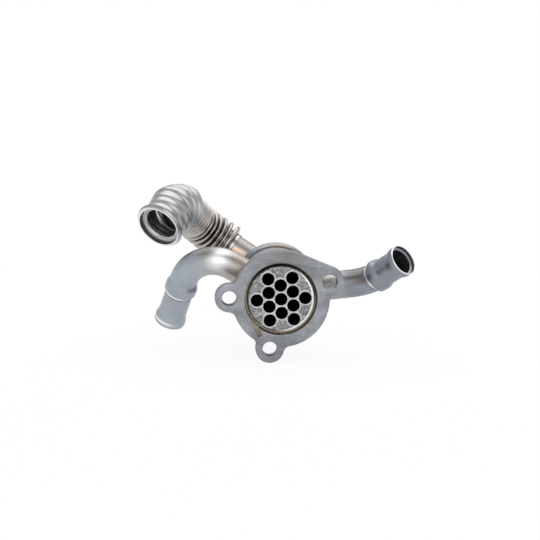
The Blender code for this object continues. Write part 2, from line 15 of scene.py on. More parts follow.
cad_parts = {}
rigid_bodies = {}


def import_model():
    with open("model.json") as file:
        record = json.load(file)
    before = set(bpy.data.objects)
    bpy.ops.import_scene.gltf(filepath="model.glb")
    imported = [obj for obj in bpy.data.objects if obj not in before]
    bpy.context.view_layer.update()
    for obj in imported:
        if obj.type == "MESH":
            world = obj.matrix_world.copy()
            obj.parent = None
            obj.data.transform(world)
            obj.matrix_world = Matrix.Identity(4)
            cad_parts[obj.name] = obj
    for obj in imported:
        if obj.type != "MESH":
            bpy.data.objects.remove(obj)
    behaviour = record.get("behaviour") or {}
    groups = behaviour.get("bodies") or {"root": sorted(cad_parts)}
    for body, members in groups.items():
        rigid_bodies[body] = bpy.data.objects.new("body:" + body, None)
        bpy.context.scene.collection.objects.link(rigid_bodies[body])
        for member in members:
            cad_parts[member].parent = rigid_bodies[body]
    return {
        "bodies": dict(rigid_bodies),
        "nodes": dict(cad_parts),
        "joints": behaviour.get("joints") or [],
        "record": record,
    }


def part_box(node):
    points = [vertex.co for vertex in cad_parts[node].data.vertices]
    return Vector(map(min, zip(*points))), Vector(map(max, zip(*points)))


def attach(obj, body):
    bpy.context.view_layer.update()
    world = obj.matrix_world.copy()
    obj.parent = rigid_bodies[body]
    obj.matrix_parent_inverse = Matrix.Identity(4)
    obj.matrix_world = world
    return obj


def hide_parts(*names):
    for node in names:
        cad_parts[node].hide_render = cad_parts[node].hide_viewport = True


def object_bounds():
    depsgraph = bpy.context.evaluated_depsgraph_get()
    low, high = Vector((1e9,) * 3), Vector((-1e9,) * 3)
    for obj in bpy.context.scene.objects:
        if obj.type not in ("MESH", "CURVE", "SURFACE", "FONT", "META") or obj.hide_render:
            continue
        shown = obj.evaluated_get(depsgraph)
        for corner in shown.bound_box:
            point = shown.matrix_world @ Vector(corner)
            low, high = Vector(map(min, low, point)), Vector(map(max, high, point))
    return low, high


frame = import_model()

bl_info = {
    "name": "EGR cooler",
    "version": (1, 0, 0),
    "blender": (4, 5, 0),
    "location": "View3D > Sidebar > Cooler",
    "description": "Makes the finished pieces of an exhaust gas recirculation cooler",
    "category": "Object",
}

BOX_AT_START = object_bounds()
FLANGE_LOW, FLANGE_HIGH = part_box("flange")
DISH_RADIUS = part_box("front_tube_sheet")[1].x
SHELL_LOW, SHELL_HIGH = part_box("shell")
CAP_LOW, CAP_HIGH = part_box("rear_cap")
SHEET_LOW, SHEET_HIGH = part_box("rear_tube_sheet")
TUBE_LOW, TUBE_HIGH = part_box("gas_tube_01")
IMAGE_PIXELS = 540
SEAT_GAP = 0.0003
EDGE_BREAK = 0.00025
# Clock angle and depth of the port, run out to the bend, the bend's radius, the azimuth and
# elevation it turns to, and the run from there to the end
COOLANT_LINES = {
    "left": (150.0, 0.0269, 0.0119, 0.0225, 126.8, -61.2, 0.0356),
    "right": (5.5, 0.0300, 0.0247, 0.0270, -44.5, 32.1, 0.0210),
}
# The gas line: where it starts in the neck, its straight runs one after the other, and for the
# bends the radius and the azimuth and elevation they turn to
NECK_DEPTH = 0.0040
NECK_RUN, PIPE_RUN, BELLOWS_RUN, ELBOW_RUN, MOUTH_RUN = 0.0060, 0.0165, 0.0030, 0.0112, 0.0118
PIPE_BEND = (0.0200, 167.8, 32.7)
BELLOWS_BEND = (0.0343, -127.7, 33.1)
ELBOW_HEADING = (-124.0, -28.6)


def metres(text, words, default):
    """A size in metres that the sidebar shows with its unit."""
    return FloatProperty(
        name=text, description=words, default=default, min=0.0, precision=5, subtype="DISTANCE", unit="LENGTH"
    )


def degrees(text, words, default):
    return FloatProperty(
        name=text, description=words, default=radians(default), subtype="ANGLE", unit="ROTATION"
    )


def shade(text, words, default):
    return FloatVectorProperty(
        name=text, description=words, default=default, size=3, min=0.0, max=1.0, subtype="COLOR"
    )


def fraction(text, words, default):
    return FloatProperty(name=text, description=words, default=default, min=0.0, max=1.0, subtype="FACTOR")


def whole(text, words, default, least, most):
    return IntProperty(name=text, description=words, default=default, min=least, max=most)


class CoolerFlangeSizes(bpy.types.PropertyGroup):
    """Sizes of the mounting flange."""

    bore: metres("Bore", "Radius of the bore round the tube sheet", DISH_RADIUS + SEAT_GAP)
    moat: metres("Moat", "Width of the ditch between the bore and the tube sheet", 0.0016)
    land: metres("Land", "Width of the face between the bore and the rim", 0.0082)
    bolt_circle: metres("Bolt circle", "Radius on which the bolt holes lie", 0.0338)
    bolt_hole: metres("Bolt hole", "Radius of a bolt hole", 0.0048)
    ear: metres("Ear", "Radius of the end of an ear", 0.0093)
    fillet: metres("Fillet", "Radius where an ear meets the body", 0.0050)
    edge: metres("Edge", "Round of the plate's edges", 0.0006)
    slot_width: metres("Slot width", "Width of the groove that leads out of the bore", 0.0030)
    slot_depth: metres("Slot depth", "Depth of the groove", 0.0030)
    right_ear: degrees("Right ear", "Clock angle of the right ear", 19.1)
    left_ear: degrees("Left ear", "Clock angle of the left ear", 178.5)
    lower_ear: degrees("Lower ear", "Clock angle of the lower ear", 257.4)


class CoolerBundleSizes(bpy.types.PropertyGroup):
    """Sizes of the tubes and of the sheets that hold them."""

    bore: metres("Tube bore", "Inner diameter of a gas tube", 0.0082)
    wall: metres("Tube wall", "Wall of a gas tube at its end", 0.0003)
    pitch: metres("Pitch", "Distance between neighbouring tubes", 0.0091)
    turn: degrees("Turn", "Turn of the tube pattern about the bundle's axis", 2.4)
    stand_out: metres("Stand-out", "How far a tube stands out of its sheet", 0.0006)
    recess: metres("Recess", "How far the front sheet lies behind the flange's face", 0.0010)
    corner: metres("Corner", "Round of the sheet's rim", 0.0016)
    gauge: metres("Gauge", "Thickness of a sheet", 0.0012)
    skirt: metres("Skirt", "Depth of a sheet's skirt", 0.0060)


class CoolerShellSizes(bpy.types.PropertyGroup):
    """Sizes of the shell and its rear cap."""

    wall: metres("Wall", "Wall of the shell", 0.0015)
    cap_wall: metres("Cap wall", "Wall of the rear cap", 0.0014)
    shoulder: metres("Shoulder", "Round of the cap's shoulder", 0.0035)
    neck: metres("Neck", "Length of the cap's neck", 0.0045)
    bead: metres("Weld bead", "Radius of a weld bead", 0.0007)


class CoolerPipeSizes(bpy.types.PropertyGroup):
    """Sizes of the two coolant pipes."""

    radius: metres("Radius", "Outer radius of a coolant pipe", 0.0094)
    wall: metres("Wall", "Wall of a coolant pipe", 0.0010)
    collar: metres("Collar", "Height of the stop collar", 0.0014)
    step: metres("Collar step", "Length of the collar's steep side", 0.0018)
    crown: metres("Collar crown", "Length of the collar's top", 0.0034)
    run_out: metres("Collar run-out", "Length of the collar's gentle side", 0.0058)
    left_foot: metres("Left collar", "Distance of the left collar's step from the pipe's end", 0.0247)
    right_foot: metres("Right collar", "Distance of the right collar's step from the pipe's end", 0.0276)
    bead: metres("Bead", "Height of the end bead", 0.0012)
    bead_length: metres("Bead length", "Length of the end bead", 0.0090)
    crest: metres("Bead crest", "Distance of the bead's crest from the end", 0.0034)
    curl: metres("Curl", "How far the lip curls in", 0.0002)
    mouth_wall: metres("Mouth wall", "Wall of the widened mouth", 0.0009)
    mouth_depth: metres("Mouth depth", "Depth of the widened mouth", 0.0024)
    mouth_step: metres("Mouth step", "Length of the step at the end of the widened mouth", 0.0005)


class CoolerGasLineSizes(bpy.types.PropertyGroup):
    """Sizes of the gas line from the cap to the inlet cup."""

    radius: metres("Radius", "Outer radius of the gas pipe", 0.0102)
    wall: metres("Wall", "Wall of the gas pipe", 0.0010)
    crest: metres("Crest", "Radius of the bellows at its first crest", 0.0153)
    last_crest: metres("Last crest", "Radius of the bellows at its last crest", 0.0143)
    foil: metres("Foil", "Wall of the bellows", 0.0004)
    cuff: metres("Cuff", "Length of a plain end of the bellows", 0.0018)
    waves: whole("Waves", "Waves of the bellows", 6, 2, 30)
    fullness: fraction("Fullness", "Share of a wave's length that its lobe takes up", 0.68)
    elbow: metres("Elbow", "Outer radius of the elbow", 0.0139)
    elbow_wall: metres("Elbow wall", "Wall of the elbow", 0.0012)
    swell: metres("Swell", "How far the elbow swells at its narrow ribs", 0.0023)
    fall: metres("Swell fall", "Length over which the swell dies out", 0.0042)
    ribs: whole("Ribs", "Narrow ribs of the elbow", 3, 1, 12)
    rib: metres("Rib", "Height of a rib", 0.0015)
    rib_start: metres("Rib start", "Distance of the first rib from the start of the bend", 0.0036)
    rib_pitch: metres("Rib pitch", "Length of a narrow rib", 0.0047)
    last_rib: metres("Last rib", "Length of the broad rib", 0.0096)
    ridges: whole("Ridges", "Low ridges between the bellows and the ribs", 3, 0, 8)
    ridge: metres("Ridge", "Height of a low ridge", 0.0007)
    ridge_pitch: metres("Ridge pitch", "Length of a low ridge", 0.0030)
    throat: metres("Throat", "Radius of the bend's inner side at the ribs", 0.0011)
    ring: metres("Ring", "Outer radius of the ring at the elbow's mouth", 0.0122)
    flare: metres("Flare", "How far the ring's bore widens at its mouth", 0.0005)
    recess: metres("Recess", "How far the ring lies inside the cup's mouth", 0.0040)
    cup_depth: metres("Cup depth", "Length of the inlet cup", 0.0072)
    lip: metres("Lip", "Half the width of the cup's lip", 0.0015)


class CoolerFinish(bpy.types.PropertyGroup):
    """Colours and gloss of the steel."""

    plate: shade("Plate", "Colour of the ground flange", (0.30, 0.312, 0.335))
    pipe: shade("Pipe", "Colour of the satin pipes", (0.375, 0.405, 0.45))
    bright: shade("Bright", "Colour of the bright stainless steel", (0.47, 0.475, 0.49))
    braze: shade("Braze", "Colour of the braze film", (0.33, 0.335, 0.345))
    tint: shade("Heat tint", "Colour of steel that was hot near a weld", (0.47, 0.37, 0.28))
    # The near-black colour deep in the bores is painted shade.
    soot: shade("Oxide", "Colour of the dark scale deep in the bores", (0.012, 0.011, 0.011))
    plate_gloss: fraction("Plate roughness", "Roughness of the flange", 0.42)
    pipe_gloss: fraction("Pipe roughness", "Roughness of the pipes", 0.39)
    bright_gloss: fraction("Bright roughness", "Roughness of the bright steel", 0.24)
    wear: fraction("Wear", "Strength of smudges and fine scratches", 0.5)


# Shader nodes as expressions


class Number:
    """A node's socket that takes part in sums and products."""

    def __init__(self, nodes, socket):
        self.nodes = nodes
        self.socket = socket

    def __add__(self, other):
        return self.nodes.maths("ADD", self, other)

    __radd__ = __add__

    def __sub__(self, other):
        return self.nodes.maths("SUBTRACT", self, other)

    def __rsub__(self, other):
        return self.nodes.maths("SUBTRACT", other, self)

    def __mul__(self, other):
        return self.nodes.maths("MULTIPLY", self, other)

    __rmul__ = __mul__

    def __truediv__(self, other):
        return self.nodes.maths("DIVIDE", self, other)

    def __rtruediv__(self, other):
        return self.nodes.maths("DIVIDE", other, self)

    def above(self, low, high):
        """0 below the low value, 1 above the high one, smooth between them."""
        inputs = {"Value": self, "From Min": low, "From Max": high}
        return self.nodes.number("ShaderNodeMapRange", {"interpolation_type": "SMOOTHSTEP"}, inputs)


class Nodes:
    """A node tree under construction."""

    def node(self, kind, settings, inputs):
        """Add a node: its settings first, then a value or a link for each named socket."""
        node = self.tree.nodes.new(kind)
        for key, value in settings.items():
            setattr(node, key, value)
        for key, value in inputs.items():
            if isinstance(value, Number):
                value = value.socket
            if isinstance(value, bpy.types.NodeSocket):
                self.tree.links.new(value, node.inputs[key])
            else:
                node.inputs[key].default_value = value
        return node

    def made(self, kind, settings, inputs, output=0):
        """Output socket of a new node."""
        return self.node(kind, settings, inputs).outputs[output]

    def number(self, kind, settings, inputs, output=0):
        """Output of a new node, to reckon with."""
        return Number(self, self.made(kind, settings, inputs, output))

    def maths(self, operation, *terms):
        return self.number("ShaderNodeMath", {"operation": operation}, dict(enumerate(terms)))


class Surface(Nodes):
    """One material under construction, or the world, whose place is the direction looked in.

    The colour so far is a colour or the result of a mix.
    """

    def __init__(self, name, base, world=None):
        self.material = world or bpy.data.materials.new(name)
        self.material.use_nodes = True
        self.tree = self.material.node_tree
        self.tree.nodes.clear()
        self.place = self.made("ShaderNodeTexCoord", {}, {}, "Generated" if world else "Object")
        self.color = base

    def mapped(self, scale):
        inputs = {"Vector": self.place, "Scale": scale}
        return self.made("ShaderNodeMapping", {"vector_type": "POINT"}, inputs)

    def grain(self, scale, detail=3.0, rough=0.5, warp=0.0, place=None):
        inputs = {"Scale": scale, "Detail": detail, "Roughness": rough, "Distortion": warp}
        inputs["Vector"] = place or self.place
        return self.number("ShaderNodeTexNoise", {}, inputs, "Fac")

    def vector(self, operation, first, second, output):
        inputs = {0: first, 1: tuple(second)}
        return self.made("ShaderNodeVectorMath", {"operation": operation}, inputs, output)

    def distance(self, point):
        return Number(self, self.vector("DISTANCE", self.place, point, "Value"))

    def along(self, point, heading):
        """How far the place lies past a point in a direction."""
        offset = self.vector("SUBTRACT", self.place, point, "Vector")
        return Number(self, self.vector("DOT_PRODUCT", offset, heading, "Value"))

    def band(self, point, heading, width):
        """1 on the plane through a point across a direction, fading to 0 on both its sides."""
        past_plane = self.along(point, heading)
        return past_plane.above(-width, 0.0) * past_plane.above(width, 0.0)

    def part(self, axis):
        return self.number("ShaderNodeSeparateXYZ", {}, {0: self.place}, axis)

    def stored(self, name):
        """Number that the piece's mesh holds for each of its points."""
        return self.number("ShaderNodeAttribute", {"attribute_name": name}, {}, "Fac")

    def mixed(self, mask, first, second):
        """Result of a colour mix; each end is a colour or another mix's result."""
        inputs = {0: mask}
        for key, end in ((6, first), (7, second)):
            inputs[key] = end if isinstance(end, bpy.types.NodeSocket) else (*end, 1.0)
        return self.made("ShaderNodeMix", {"data_type": "RGBA", "blend_type": "MIX"}, inputs, 2)

    def lay(self, mask, paint, factor=1.0):
        """Lay a paint, a colour made darker or lighter by a factor, over the colour so far."""
        if factor != 1.0:
            paint = scaled(paint, factor)
        self.color = self.mixed(mask, self.color, paint)

    def finish(self, roughness, height, lift, metallic=1.0):
        """Close the material with its roughness and a bump of a height times a lift."""
        bump = self.made("ShaderNodeBump", {}, {"Strength": 1.0, "Distance": lift, "Height": height})
        inputs = {"Base Color": self.color, "Roughness": roughness, "Metallic": metallic, "Normal": bump}
        shader = self.made("ShaderNodeBsdfPrincipled", {}, inputs)
        self.node("ShaderNodeOutputMaterial", {}, {"Surface": shader})
        return self.material


def scaled(color, factor):
    return tuple(min(1.0, channel * factor) for channel in color)


def plate_finish(finish):
    """Ground plate: cloudy satin with fine grain, brownish over the bore, dull on the lower ear."""
    surface = Surface("ground_plate", scaled(finish.plate, 0.70))
    cloud = surface.grain(75, detail=6, rough=0.68)
    fine = surface.grain(1500, detail=2)
    drawn = surface.grain(260, detail=4, rough=0.7, place=surface.mapped((0.15, 1.0, 1.0)))
    blot = surface.grain(140, detail=5, rough=0.7, warp=1.2)
    brown = surface.distance((0.001, 0.0, 0.034)).above(0.030, 0.006) * (cloud * 0.6 + 0.55)
    dull = surface.distance((-0.004, 0.0, -0.040)).above(0.030, 0.006)
    pale = surface.distance((-0.034, 0.0, 0.002)).above(0.022, 0.004)
    surface.lay(cloud.above(0.38, 0.62), finish.plate, 1.10)
    surface.lay(brown * 0.85, (0.150, 0.145, 0.135))
    surface.lay(dull * 0.65, finish.plate, 0.58)
    surface.lay(pale * 0.3, (0.29, 0.31, 0.34))
    surface.lay(blot.above(0.56, 0.78) * finish.wear, finish.plate, 0.78)
    surface.lay(drawn.above(0.42, 0.70) * 0.35, finish.plate, 1.25)
    roughness = finish.plate_gloss + (cloud - 0.5) * 0.14 + (blot - 0.5) * (0.2 * finish.wear)
    return surface.finish(roughness, fine * 0.4 + drawn * 0.6, 0.00006)


def bore_finish():
    """Brown oxide in the moat round the sheet, with painted light at its lower right and at its left."""
    surface = Surface("bore_oxide", (0.16, 0.145, 0.125))
    cloud = surface.grain(300, detail=4, rough=0.6)
    # Painted light: the oxide is laid lighter at the lower right and at the left of the moat.
    low = surface.distance((0.012, 0.003, -0.020)).above(0.030, 0.008)
    left = surface.distance((-0.026, 0.003, 0.0)).above(0.034, 0.010)
    surface.lay(cloud.above(0.35, 0.7), (0.34, 0.30, 0.24))
    surface.lay(low * (cloud * 0.5 + 0.5), (0.58, 0.50, 0.40))
    surface.lay(left * (cloud * 0.6 + 0.3), (0.50, 0.45, 0.37))
    return surface.finish(0.5 + (cloud - 0.5) * 0.3, cloud, 0.00008)


def soot_finish(finish):
    """Painted shade inside the pipes: near-black, dull and hardly metallic."""
    surface = Surface("pipe_scale", finish.soot)
    cloud = surface.grain(220, detail=4, rough=0.6)
    surface.lay(cloud.above(0.35, 0.7), finish.soot, 2.4)
    return surface.finish(0.62 + cloud * 0.2, cloud, 0.00005, metallic=0.3)


def throat_finish(step):
    """Dull, slightly warm steel inside the elbow: painted shade deeper in, and two painted highlight rings
    some way in.
    """
    surface = Surface("throat_scale", (0.64, 0.65, 0.64))
    cloud = surface.grain(160, detail=4, rough=0.6)
    place, heading = step
    surface.lay(cloud.above(0.35, 0.7), (0.62, 0.60, 0.57))
    # Painted shade: darker deeper inside the elbow.
    deep = surface.along(place, heading).above(-0.0006, -0.0030)
    surface.lay(deep * 0.85, (0.46, 0.45, 0.44))
    # Painted highlights: two bright rings round the inside; the wall has no step there.
    surface.lay(surface.band(place, heading, 0.0005), (1.0, 0.98, 0.96))
    surface.lay(surface.band(place - heading * 0.0014, heading, 0.0003), (1.0, 0.92, 0.84))
    return surface.finish(0.26 + cloud * 0.10, cloud, 0.00001)


def pipe_finish(finish, name, hot_points, tone=1.0, painted_highlights=(), dark_rings=(), patches=()):
    """Satin drawn tube with a heat tint round each weld, and painted light laid over it.

    A painted highlight is a place, a direction along the pipe, a width, the side it lies on and
    how far out on that side it begins. A patch of painted shade or of a painted reflection has a
    colour as well, and a dark ring goes all the way round.
    """
    surface = Surface(name, scaled(finish.pipe, 0.90 * tone))
    cloud = surface.grain(55, detail=3, rough=0.55)
    fine = surface.grain(1300, detail=2)
    smudge = surface.grain(130, detail=5, rough=0.7, warp=1.2)
    surface.lay(cloud.above(0.3, 0.75), finish.pipe, 1.06 * tone)
    surface.lay(smudge.above(0.50, 0.80) * 0.30, finish.pipe, 0.80 * tone)
    for point, reach in hot_points:
        heat = surface.distance(point).above(reach, reach * 0.35)
        edge = surface.distance(point).above(reach * 1.5, reach)
        surface.lay((edge - heat) * 0.35, (0.50, 0.46, 0.39))
        surface.lay(heat * (cloud * 0.5 + 0.35), finish.tint)
    # Painted highlights: bright bands on one side of the pipe.
    for place, heading, width, side, begins in painted_highlights:
        facing = surface.along(place, side).above(begins, begins + 0.008)
        surface.lay(surface.band(place, heading, width) * facing * (cloud * 0.5 + 0.7), (0.93, 0.94, 0.95))
    # Painted shade and painted reflections: patches on one side of the pipe.
    for place, heading, width, side, begins, paint in patches:
        facing = surface.along(place, side).above(begins, begins + 0.0028)
        surface.lay(surface.band(place, heading, width) * facing * (cloud * 0.3 + 0.75), paint)
    # Dark rings round the pipe, broken up by the smudge grain.
    for place, heading, width in dark_rings:
        surface.lay(surface.band(place, heading, width) * smudge.above(0.35, 0.6), (0.12, 0.11, 0.10))
    roughness = finish.pipe_gloss + (cloud - 0.5) * 0.10 + smudge.above(0.52, 0.8) * (0.14 * finish.wear)
    return surface.finish(roughness, fine * 0.7 + smudge * 0.3, 0.00001)


def bright_finish(finish, name, tone=1.0, gloss=1.0, rim=None, warm=None):
    """Bright stainless steel with dull patches, a painted highlight at a rim and straw near a warm point."""
    surface = Surface(name, scaled(finish.bright, 0.84 * tone))
    cloud = surface.grain(80, detail=4, rough=0.6)
    fine = surface.grain(900, detail=3)
    stain = surface.grain(170, detail=5, rough=0.7, warp=1.5)
    surface.lay(cloud.above(0.3, 0.75), finish.bright, 1.08 * tone)
    surface.lay(stain.above(0.50, 0.75) * 0.6, (0.50, 0.43, 0.36), tone)
    if warm:
        straw = surface.distance(warm).above(0.0180, 0.0142) * stain.above(0.30, 0.60) * 0.6
        surface.lay(straw, (0.56, 0.49, 0.41))
    # Painted highlight: the rim is laid near-white.
    if rim:
        surface.lay(surface.along(*rim).above(-0.0036, -0.0030), (0.92, 0.91, 0.90))
    roughness = finish.bright_gloss * gloss + (cloud - 0.5) * 0.08
    roughness = roughness + stain.above(0.55, 0.85) * (0.15 * finish.wear)
    return surface.finish(roughness, fine * 0.5 + stain * 0.5, 0.000006)


def bellows_finish(finish):
    """Thin folded steel: painted highlights on the crests over painted dark brown shade in the gaps."""
    surface = Surface("bellows_steel", scaled(finish.bright, 0.80))
    rise = surface.stored("rise")
    cloud = surface.grain(120, detail=4, rough=0.6)
    stain = surface.grain(200, detail=5, rough=0.7, warp=1.5)
    surface.lay(stain.above(0.40, 0.68), (0.40, 0.35, 0.30))
    # Painted shade, darker the deeper into a gap; painted highlights on the crests.
    surface.lay(rise.above(0.93, 0.45), (0.36, 0.33, 0.29))
    surface.lay(rise.above(0.40, 0.02), (0.20, 0.18, 0.155))
    surface.lay(rise.above(0.97, 0.995) * 0.4, (0.60, 0.59, 0.57))
    return surface.finish(finish.bright_gloss + 0.04 + (cloud - 0.5) * 0.08, stain, 0.000006)


def cup_finish(finish, centre, crest):
    """Dull grey pressing with a painted highlight line round the crest of its lip, painted light on its upper
    side and a painted bright band inside the lip below.
    """
    surface = Surface("cup_steel", scaled(finish.bright, 0.45))
    out = surface.distance(centre)
    cloud = surface.grain(90, detail=4, rough=0.6)
    stain = surface.grain(190, detail=4, rough=0.6, warp=1.2)
    surface.lay(cloud.above(0.35, 0.70), finish.bright, 0.70)
    surface.lay(stain.above(0.55, 0.8) * 0.5, (0.22, 0.19, 0.16))
    # Painted light: the upper side is laid lighter.
    lit_upper_side = surface.along(centre, (0.77, 0.0, 0.64)).above(-0.002, 0.011)
    surface.lay(lit_upper_side, finish.bright, 0.85)
    # Painted highlights: a bright band inside the lip's lower side and a line round its crest.
    inner = out.above(crest - 0.0006, crest - 0.0002)
    low_painted_highlight = inner * out.above(crest + 0.0017, crest + 0.0009) * (1 - lit_upper_side)
    surface.lay(low_painted_highlight * 0.75, (0.95, 0.95, 0.96))
    line = inner * out.above(crest + 0.0008, crest + 0.0003)
    surface.lay(line * (lit_upper_side * 0.45 + 0.40), (0.95, 0.95, 0.96))
    surface.lay(out.above(crest + 0.0018, crest + 0.0024), finish.bright, 0.80)
    return surface.finish(0.34 + (cloud - 0.5) * 0.1, stain, 0.000008)


def braze_finish(finish):
    """Braze that ran over the sheet: bright streaks, dull flux and flow lines, with a painted highlight on
    the rim and painted shade and light in the moat.
    """
    surface = Surface("braze_film", scaled(finish.braze, 0.50))
    flow = surface.grain(230, detail=6, rough=0.62, warp=2.6)
    streak = surface.grain(120, detail=5, rough=0.6, warp=3.5, place=surface.mapped((1.0, 1.0, 1.8)))
    grit = surface.grain(1800, detail=2)
    out = surface.distance((0.0, 0.001, 0.0))
    # Sides of the moat painted as lit.
    lit_moat_side = surface.along((0.0, 0.0, 0.0), (-0.80, 0.0, -0.60)).above(-0.004, 0.012)
    lit_moat_side = lit_moat_side + surface.along((0.0, 0.0, 0.0), (0.60, 0.0, -0.80)).above(0.010, 0.020) * 0.8
    # Painted highlight: a bright crescent on the right of the rim.
    rim_highlight = out.above(0.0201, 0.0205) * surface.distance((-0.0045, 0.001, 0.0014)).above(0.0220, 0.0240)
    surface.lay(flow.above(0.38, 0.60), finish.braze, 1.12)
    surface.lay(streak.above(0.49, 0.60) * 0.70, finish.braze, 0.42)
    surface.lay(streak.above(0.38, 0.32) * 0.8, finish.braze, 2.1)
    surface.lay(rim_highlight * 0.95, (0.95, 0.95, 0.93))
    # The sheet's foot in the moat: tan on the painted lit sides, near-black painted shade elsewhere.
    moat = surface.mixed(lit_moat_side * (flow * 0.6 + 0.5), (0.12, 0.108, 0.095), (0.55, 0.49, 0.40))
    surface.lay(out.above(0.0218, 0.0222), moat)
    roughness = 0.28 + flow * 0.24 + streak.above(0.48, 0.62) * 0.16
    return surface.finish(roughness, flow * 0.85 + grit * 0.15, 0.00032)


def tube_finish(finish):
    """Thin tube: bright at its brazed end, with painted shade just inside it."""
    surface = Surface("tube_steel", scaled(finish.bright, 0.95))
    # Painted shade: the tube turns near-black a little behind its end.
    deep = surface.part("Y").above(0.0005, 0.0009)
    cloud = surface.grain(400, detail=3)
    surface.lay(cloud, finish.bright, 1.35)
    surface.lay(deep, finish.soot)
    return surface.finish(0.26 + deep * 0.45 + cloud * 0.08, cloud, 0.00003)


def weld_finish():
    """Weld bead: ripples with straw, brown and blue oxide."""
    surface = Surface("weld_bead", (0.22, 0.21, 0.20))
    cloud = surface.grain(420, detail=3)
    spot = surface.grain(160, detail=4, warp=1.0)
    surface.lay(spot.above(0.40, 0.64), (0.24, 0.19, 0.15))
    surface.lay(cloud.above(0.55, 0.72) * 0.5, (0.20, 0.22, 0.27))
    return surface.finish(0.34 + cloud * 0.22, cloud, 0.00005)


# Meshes


def add_object(name, data):
    item = bpy.data.objects.new(name, data)
    bpy.context.scene.collection.objects.link(item)
    return item


def closed_mesh(name, rings):
    """Mesh through rings of as many points each, the last one joined to the first."""
    sides = len(rings[0])
    faces = []
    for i in range(len(rings)):
        below, above = i * sides, (i + 1) % len(rings) * sides
        for j in range(sides):
            k = (j + 1) % sides
            faces.append((below + j, above + j, above + k, below + k))
    mesh = bpy.data.meshes.new(name)
    mesh.from_pydata([point for ring in rings for point in ring], [], faces)
    return mesh


def thread_mesh(name, points, closed):
    """Points joined by edges, for node trees that work along a line."""
    count = len(points)
    mesh = bpy.data.meshes.new(name)
    mesh.from_pydata(points, [(i, (i + 1) % count) for i in range(count if closed else count - 1)], [])
    return mesh


def smooth_outward(item, angle=40):
    """Weld the seams, point the faces out and smooth all but the sharp edges."""
    working = bmesh.new()
    working.from_mesh(item.data)
    bmesh.ops.remove_doubles(working, verts=working.verts, dist=1e-7)
    bmesh.ops.recalc_face_normals(working, faces=working.faces)
    working.to_mesh(item.data)
    working.free()
    item.data.shade_smooth()
    item.data.set_sharp_from_angle(angle=radians(angle))


def baked(item):
    """Replace an object by the plain mesh that its modifiers give, with its place applied."""
    bpy.context.view_layer.update()
    graph = bpy.context.evaluated_depsgraph_get()
    mesh = bpy.data.meshes.new_from_object(item.evaluated_get(graph))
    mesh.transform(item.matrix_world)
    name = item.name
    bpy.data.objects.remove(item, do_unlink=True)
    mesh.name = name
    return add_object(name, mesh)


def finished(item, material, slot, *nodes):
    """Give a piece its material, let it ride on the root body and hide the solids it stands for."""
    if material is not None:
        item.data.materials.append(material)
    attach(item, "root")
    if nodes:
        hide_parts(*nodes)
    return item


class CentreLine:
    """Straight runs and round bends in space, measured along their length."""

    def __init__(self, start, heading):
        self.legs = []
        self.length = 0.0
        self.point = Vector(start)
        self.heading = Vector(heading).normalized()
        self.across = self.heading.orthogonal().normalized()

    def leg(self, length, axis, radius):
        frame = (self.point.copy(), self.heading.copy(), self.across.copy())
        self.legs.append((self.length, length, *frame, axis, radius))
        self.length += length

    def straight(self, length):
        self.leg(length, None, 0.0)
        self.point += self.heading * length
        return self.length

    def bend(self, radius, azimuth, elevation):
        """Bend towards a heading given in degrees."""
        azimuth, elevation = radians(azimuth), radians(elevation)
        target = Vector((cos(elevation) * cos(azimuth), cos(elevation) * sin(azimuth), sin(elevation)))
        axis = self.heading.cross(target).normalized()
        self.leg(radius * self.heading.angle(target), axis, radius)
        self.point, self.heading, self.across = self.frame(self.length)
        return self.length

    def frame(self, mark):
        for begin, length, point, heading, across, axis, radius in self.legs:
            if mark <= begin + length + 1e-9:
                break
        along = mark - begin
        if axis is None:
            return point + heading * along, heading.copy(), across.copy()
        angle = along / radius
        inward = axis.cross(heading)
        place = point + heading * radius * sin(angle) + inward * radius * (1 - cos(angle))
        turn = Quaternion(axis, angle)
        return place, turn @ heading, turn @ across

    def ring(self, mark, radius, sides, uneven=None):
        place, heading, across = self.frame(mark)
        over = heading.cross(across)
        ring = []
        for j in range(sides):
            angle = 2 * pi * j / sides
            reach = radius + (uneven(mark, angle) if uneven else 0.0)
            ring.append(place + (across * cos(angle) + over * sin(angle)) * reach)
        return ring


def evenly(first, last, step):
    count = max(1, round((last - first) / step))
    return [first + (last - first) * i / count for i in range(count + 1)]


def wall_piece(name, line, outside, inside, sides, steel, scale, dark_until, uneven=None):
    """Closed pipe wall between an outer and an inner list of (mark, radius) pairs.

    The wall is steel, but its inner side up to a mark carries the second material, which paints the shade
    inside.
    """
    walls = [*outside, *reversed(inside)]
    rings = [line.ring(mark, radius, sides, uneven) for mark, radius in walls]
    item = add_object(name, closed_mesh(name, rings))
    item.data.materials.append(steel)
    item.data.materials.append(scale)
    for number in range(len(outside), len(walls)):
        if walls[number][0] < dark_until:
            for face in item.data.polygons[number * sides : (number + 1) * sides]:
                face.material_index = 1
    smooth_outward(item)
    return item


def even_wall(marks, radius_at, wall):
    """Outer and inner lines of an even wall whose two ends have broken edges."""
    first, last = marks[0], marks[-1]
    places = [min(max(mark, first + EDGE_BREAK), last - EDGE_BREAK) for mark in marks]

    def side(inset, ends):
        points = [(place, radius_at(mark) - inset) for place, mark in zip(places, marks)]
        return [(first, radius_at(first) - ends), *points, (last, radius_at(last) - ends)]

    return side(0.0, EDGE_BREAK), side(wall, wall - EDGE_BREAK)


def turned_piece(name, profile, sides, place=(0, 0, 0), heading=(0, 1, 0)):
    """Closed (radius, depth) section turned about an axis through a place."""
    line = CentreLine(place, heading)
    line.straight(1.0)
    item = add_object(name, closed_mesh(name, [line.ring(depth, radius, sides) for radius, depth in profile]))
    smooth_outward(item)
    return item


def arc_points(centre, radius, first, last, steps):
    turns = [first + i * (last - first) / steps for i in range(steps + 1)]
    return [(centre[0] + radius * cos(turn), centre[1] + radius * sin(turn)) for turn in turns]


